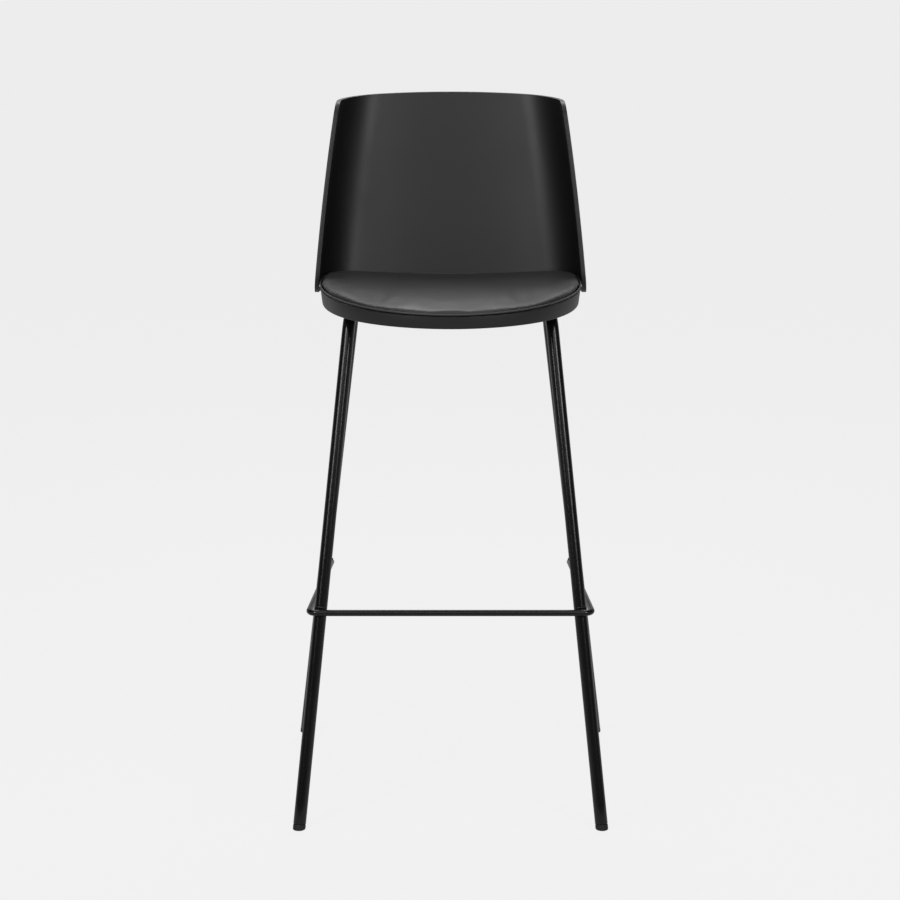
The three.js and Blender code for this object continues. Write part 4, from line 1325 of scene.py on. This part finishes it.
def area_light(name, location, target, size, power):
    data = bpy.data.lights.new(name, "AREA")
    data.shape = "RECTANGLE"
    data.size, data.size_y = size
    data.energy = power
    light = bpy.data.objects.new(name, data)
    light.location = location
    light.rotation_euler = (Vector(target) - Vector(location)).to_track_quat("-Z", "Y").to_euler()
    bpy.context.scene.collection.objects.link(light)


def stage_floor():
    reach = 60.0
    verts = [(-reach, -reach, 0), (reach, -reach, 0), (reach, reach, 0), (-reach, reach, 0)]
    material, tree, bsdf = base_material("floor_paper")
    bsdf.inputs["Base Color"].default_value = (0.05, 0.05, 0.05, 1)
    bsdf.inputs["Roughness"].default_value = 1.0
    bsdf.inputs["Specular IOR Level"].default_value = 0.0
    path = add_node(tree, "ShaderNodeLightPath")
    glow = add_node(tree, "ShaderNodeMapRange", {"To Min": 0.50, "To Max": 0.838})
    link(tree, path, "Is Camera Ray", glow, "Value")
    link(tree, glow, "Result", bsdf, "Emission Strength")
    bsdf.inputs["Emission Color"].default_value = (1, 1, 1, 1)
    floor = new_object("floor", verts, [(0, 1, 2, 3)], material, smooth=False)


def stage_world():
    world = bpy.data.worlds.new("studio")
    bpy.context.scene.world = world
    world.use_nodes = True
    tree = world.node_tree
    background = tree.nodes["Background"]
    coords = add_node(tree, "ShaderNodeTexCoord")
    split = add_node(tree, "ShaderNodeSeparateXYZ")
    wall = add_node(tree, "ShaderNodeMapRange",
                    {"From Min": 0.45, "From Max": 0.85, "To Min": 0.10, "To Max": 0.45},
                    interpolation_type="SMOOTHSTEP")
    path = add_node(tree, "ShaderNodeLightPath")
    seen = add_node(tree, "ShaderNodeMix", {3: 0.871}, data_type="FLOAT")
    link(tree, coords, "Generated", split, "Vector")
    link(tree, split, "Y", wall, "Value")
    link(tree, path, "Is Camera Ray", seen, 0)
    link(tree, wall, "Result", seen, 2)
    link(tree, seen, 0, background, "Strength")
    background.inputs["Color"].default_value = (1, 1, 1, 1)


class StoolStage(bpy.types.Operator):
    """Sets the pale floor, the soft lights and the camera"""

    bl_idname = "stool.stage"
    bl_label = "Stage"

    def execute(self, context):
        stage_floor()
        stage_world()
        for softbox in SOFTBOXES:
            area_light(*softbox)
        data = bpy.data.cameras.new("camera")
        data.sensor_width = 36.0
        data.lens = CAMERA_LENS
        data.shift_x, data.shift_y = CAMERA_SHIFT
        camera = bpy.data.objects.new("camera", data)
        camera.location = CAMERA_PLACE
        camera.rotation_euler = (math.radians(90.0 - CAMERA_PITCH), 0.0, 0.0)
        context.scene.collection.objects.link(camera)
        context.scene.camera = camera
        context.scene.view_settings.view_transform = "Standard"
        return {"FINISHED"}


# ------------------------------------------------------------------ panel and registration

OPERATORS = (
    StoolStage, StoolBackShell, StoolSeatPan, StoolSeatPad, StoolTubeFrame, StoolFootrest,
    StoolGlides, StoolSeatPlate, StoolScrews, StoolWelds,
)


class StoolPanel(bpy.types.Panel):
    """The sizes, finishes and building steps of the bar stool"""

    bl_idname = "VIEW3D_PT_bar_stool"
    bl_label = "Bar Stool"
    bl_space_type = "VIEW_3D"
    bl_region_type = "UI"
    bl_category = "Bar Stool"

    def draw(self, context):
        for name, group in GROUPS.items():
            box = self.layout.box()
            box.label(text=group.__doc__)
            for key in group.__annotations__:
                box.prop(getattr(context.scene, name), key)
        for operator in OPERATORS:
            self.layout.operator(operator.bl_idname)


CLASSES = (*GROUPS.values(), *OPERATORS, StoolPanel)


def register():
    for cls in CLASSES:
        bpy.utils.register_class(cls)
    for name, group in GROUPS.items():
        setattr(bpy.types.Scene, name, PointerProperty(type=group))


def unregister():
    for name in GROUPS:
        delattr(bpy.types.Scene, name)
    for cls in reversed(CLASSES):
        bpy.utils.unregister_class(cls)


def main():
    register()
    make_materials()
    dress_cad_nodes()
    for operator in OPERATORS:
        name = operator.bl_idname.split(".")[1]
        getattr(bpy.ops.stool, name)()


if __name__ == "__main__":
    main()
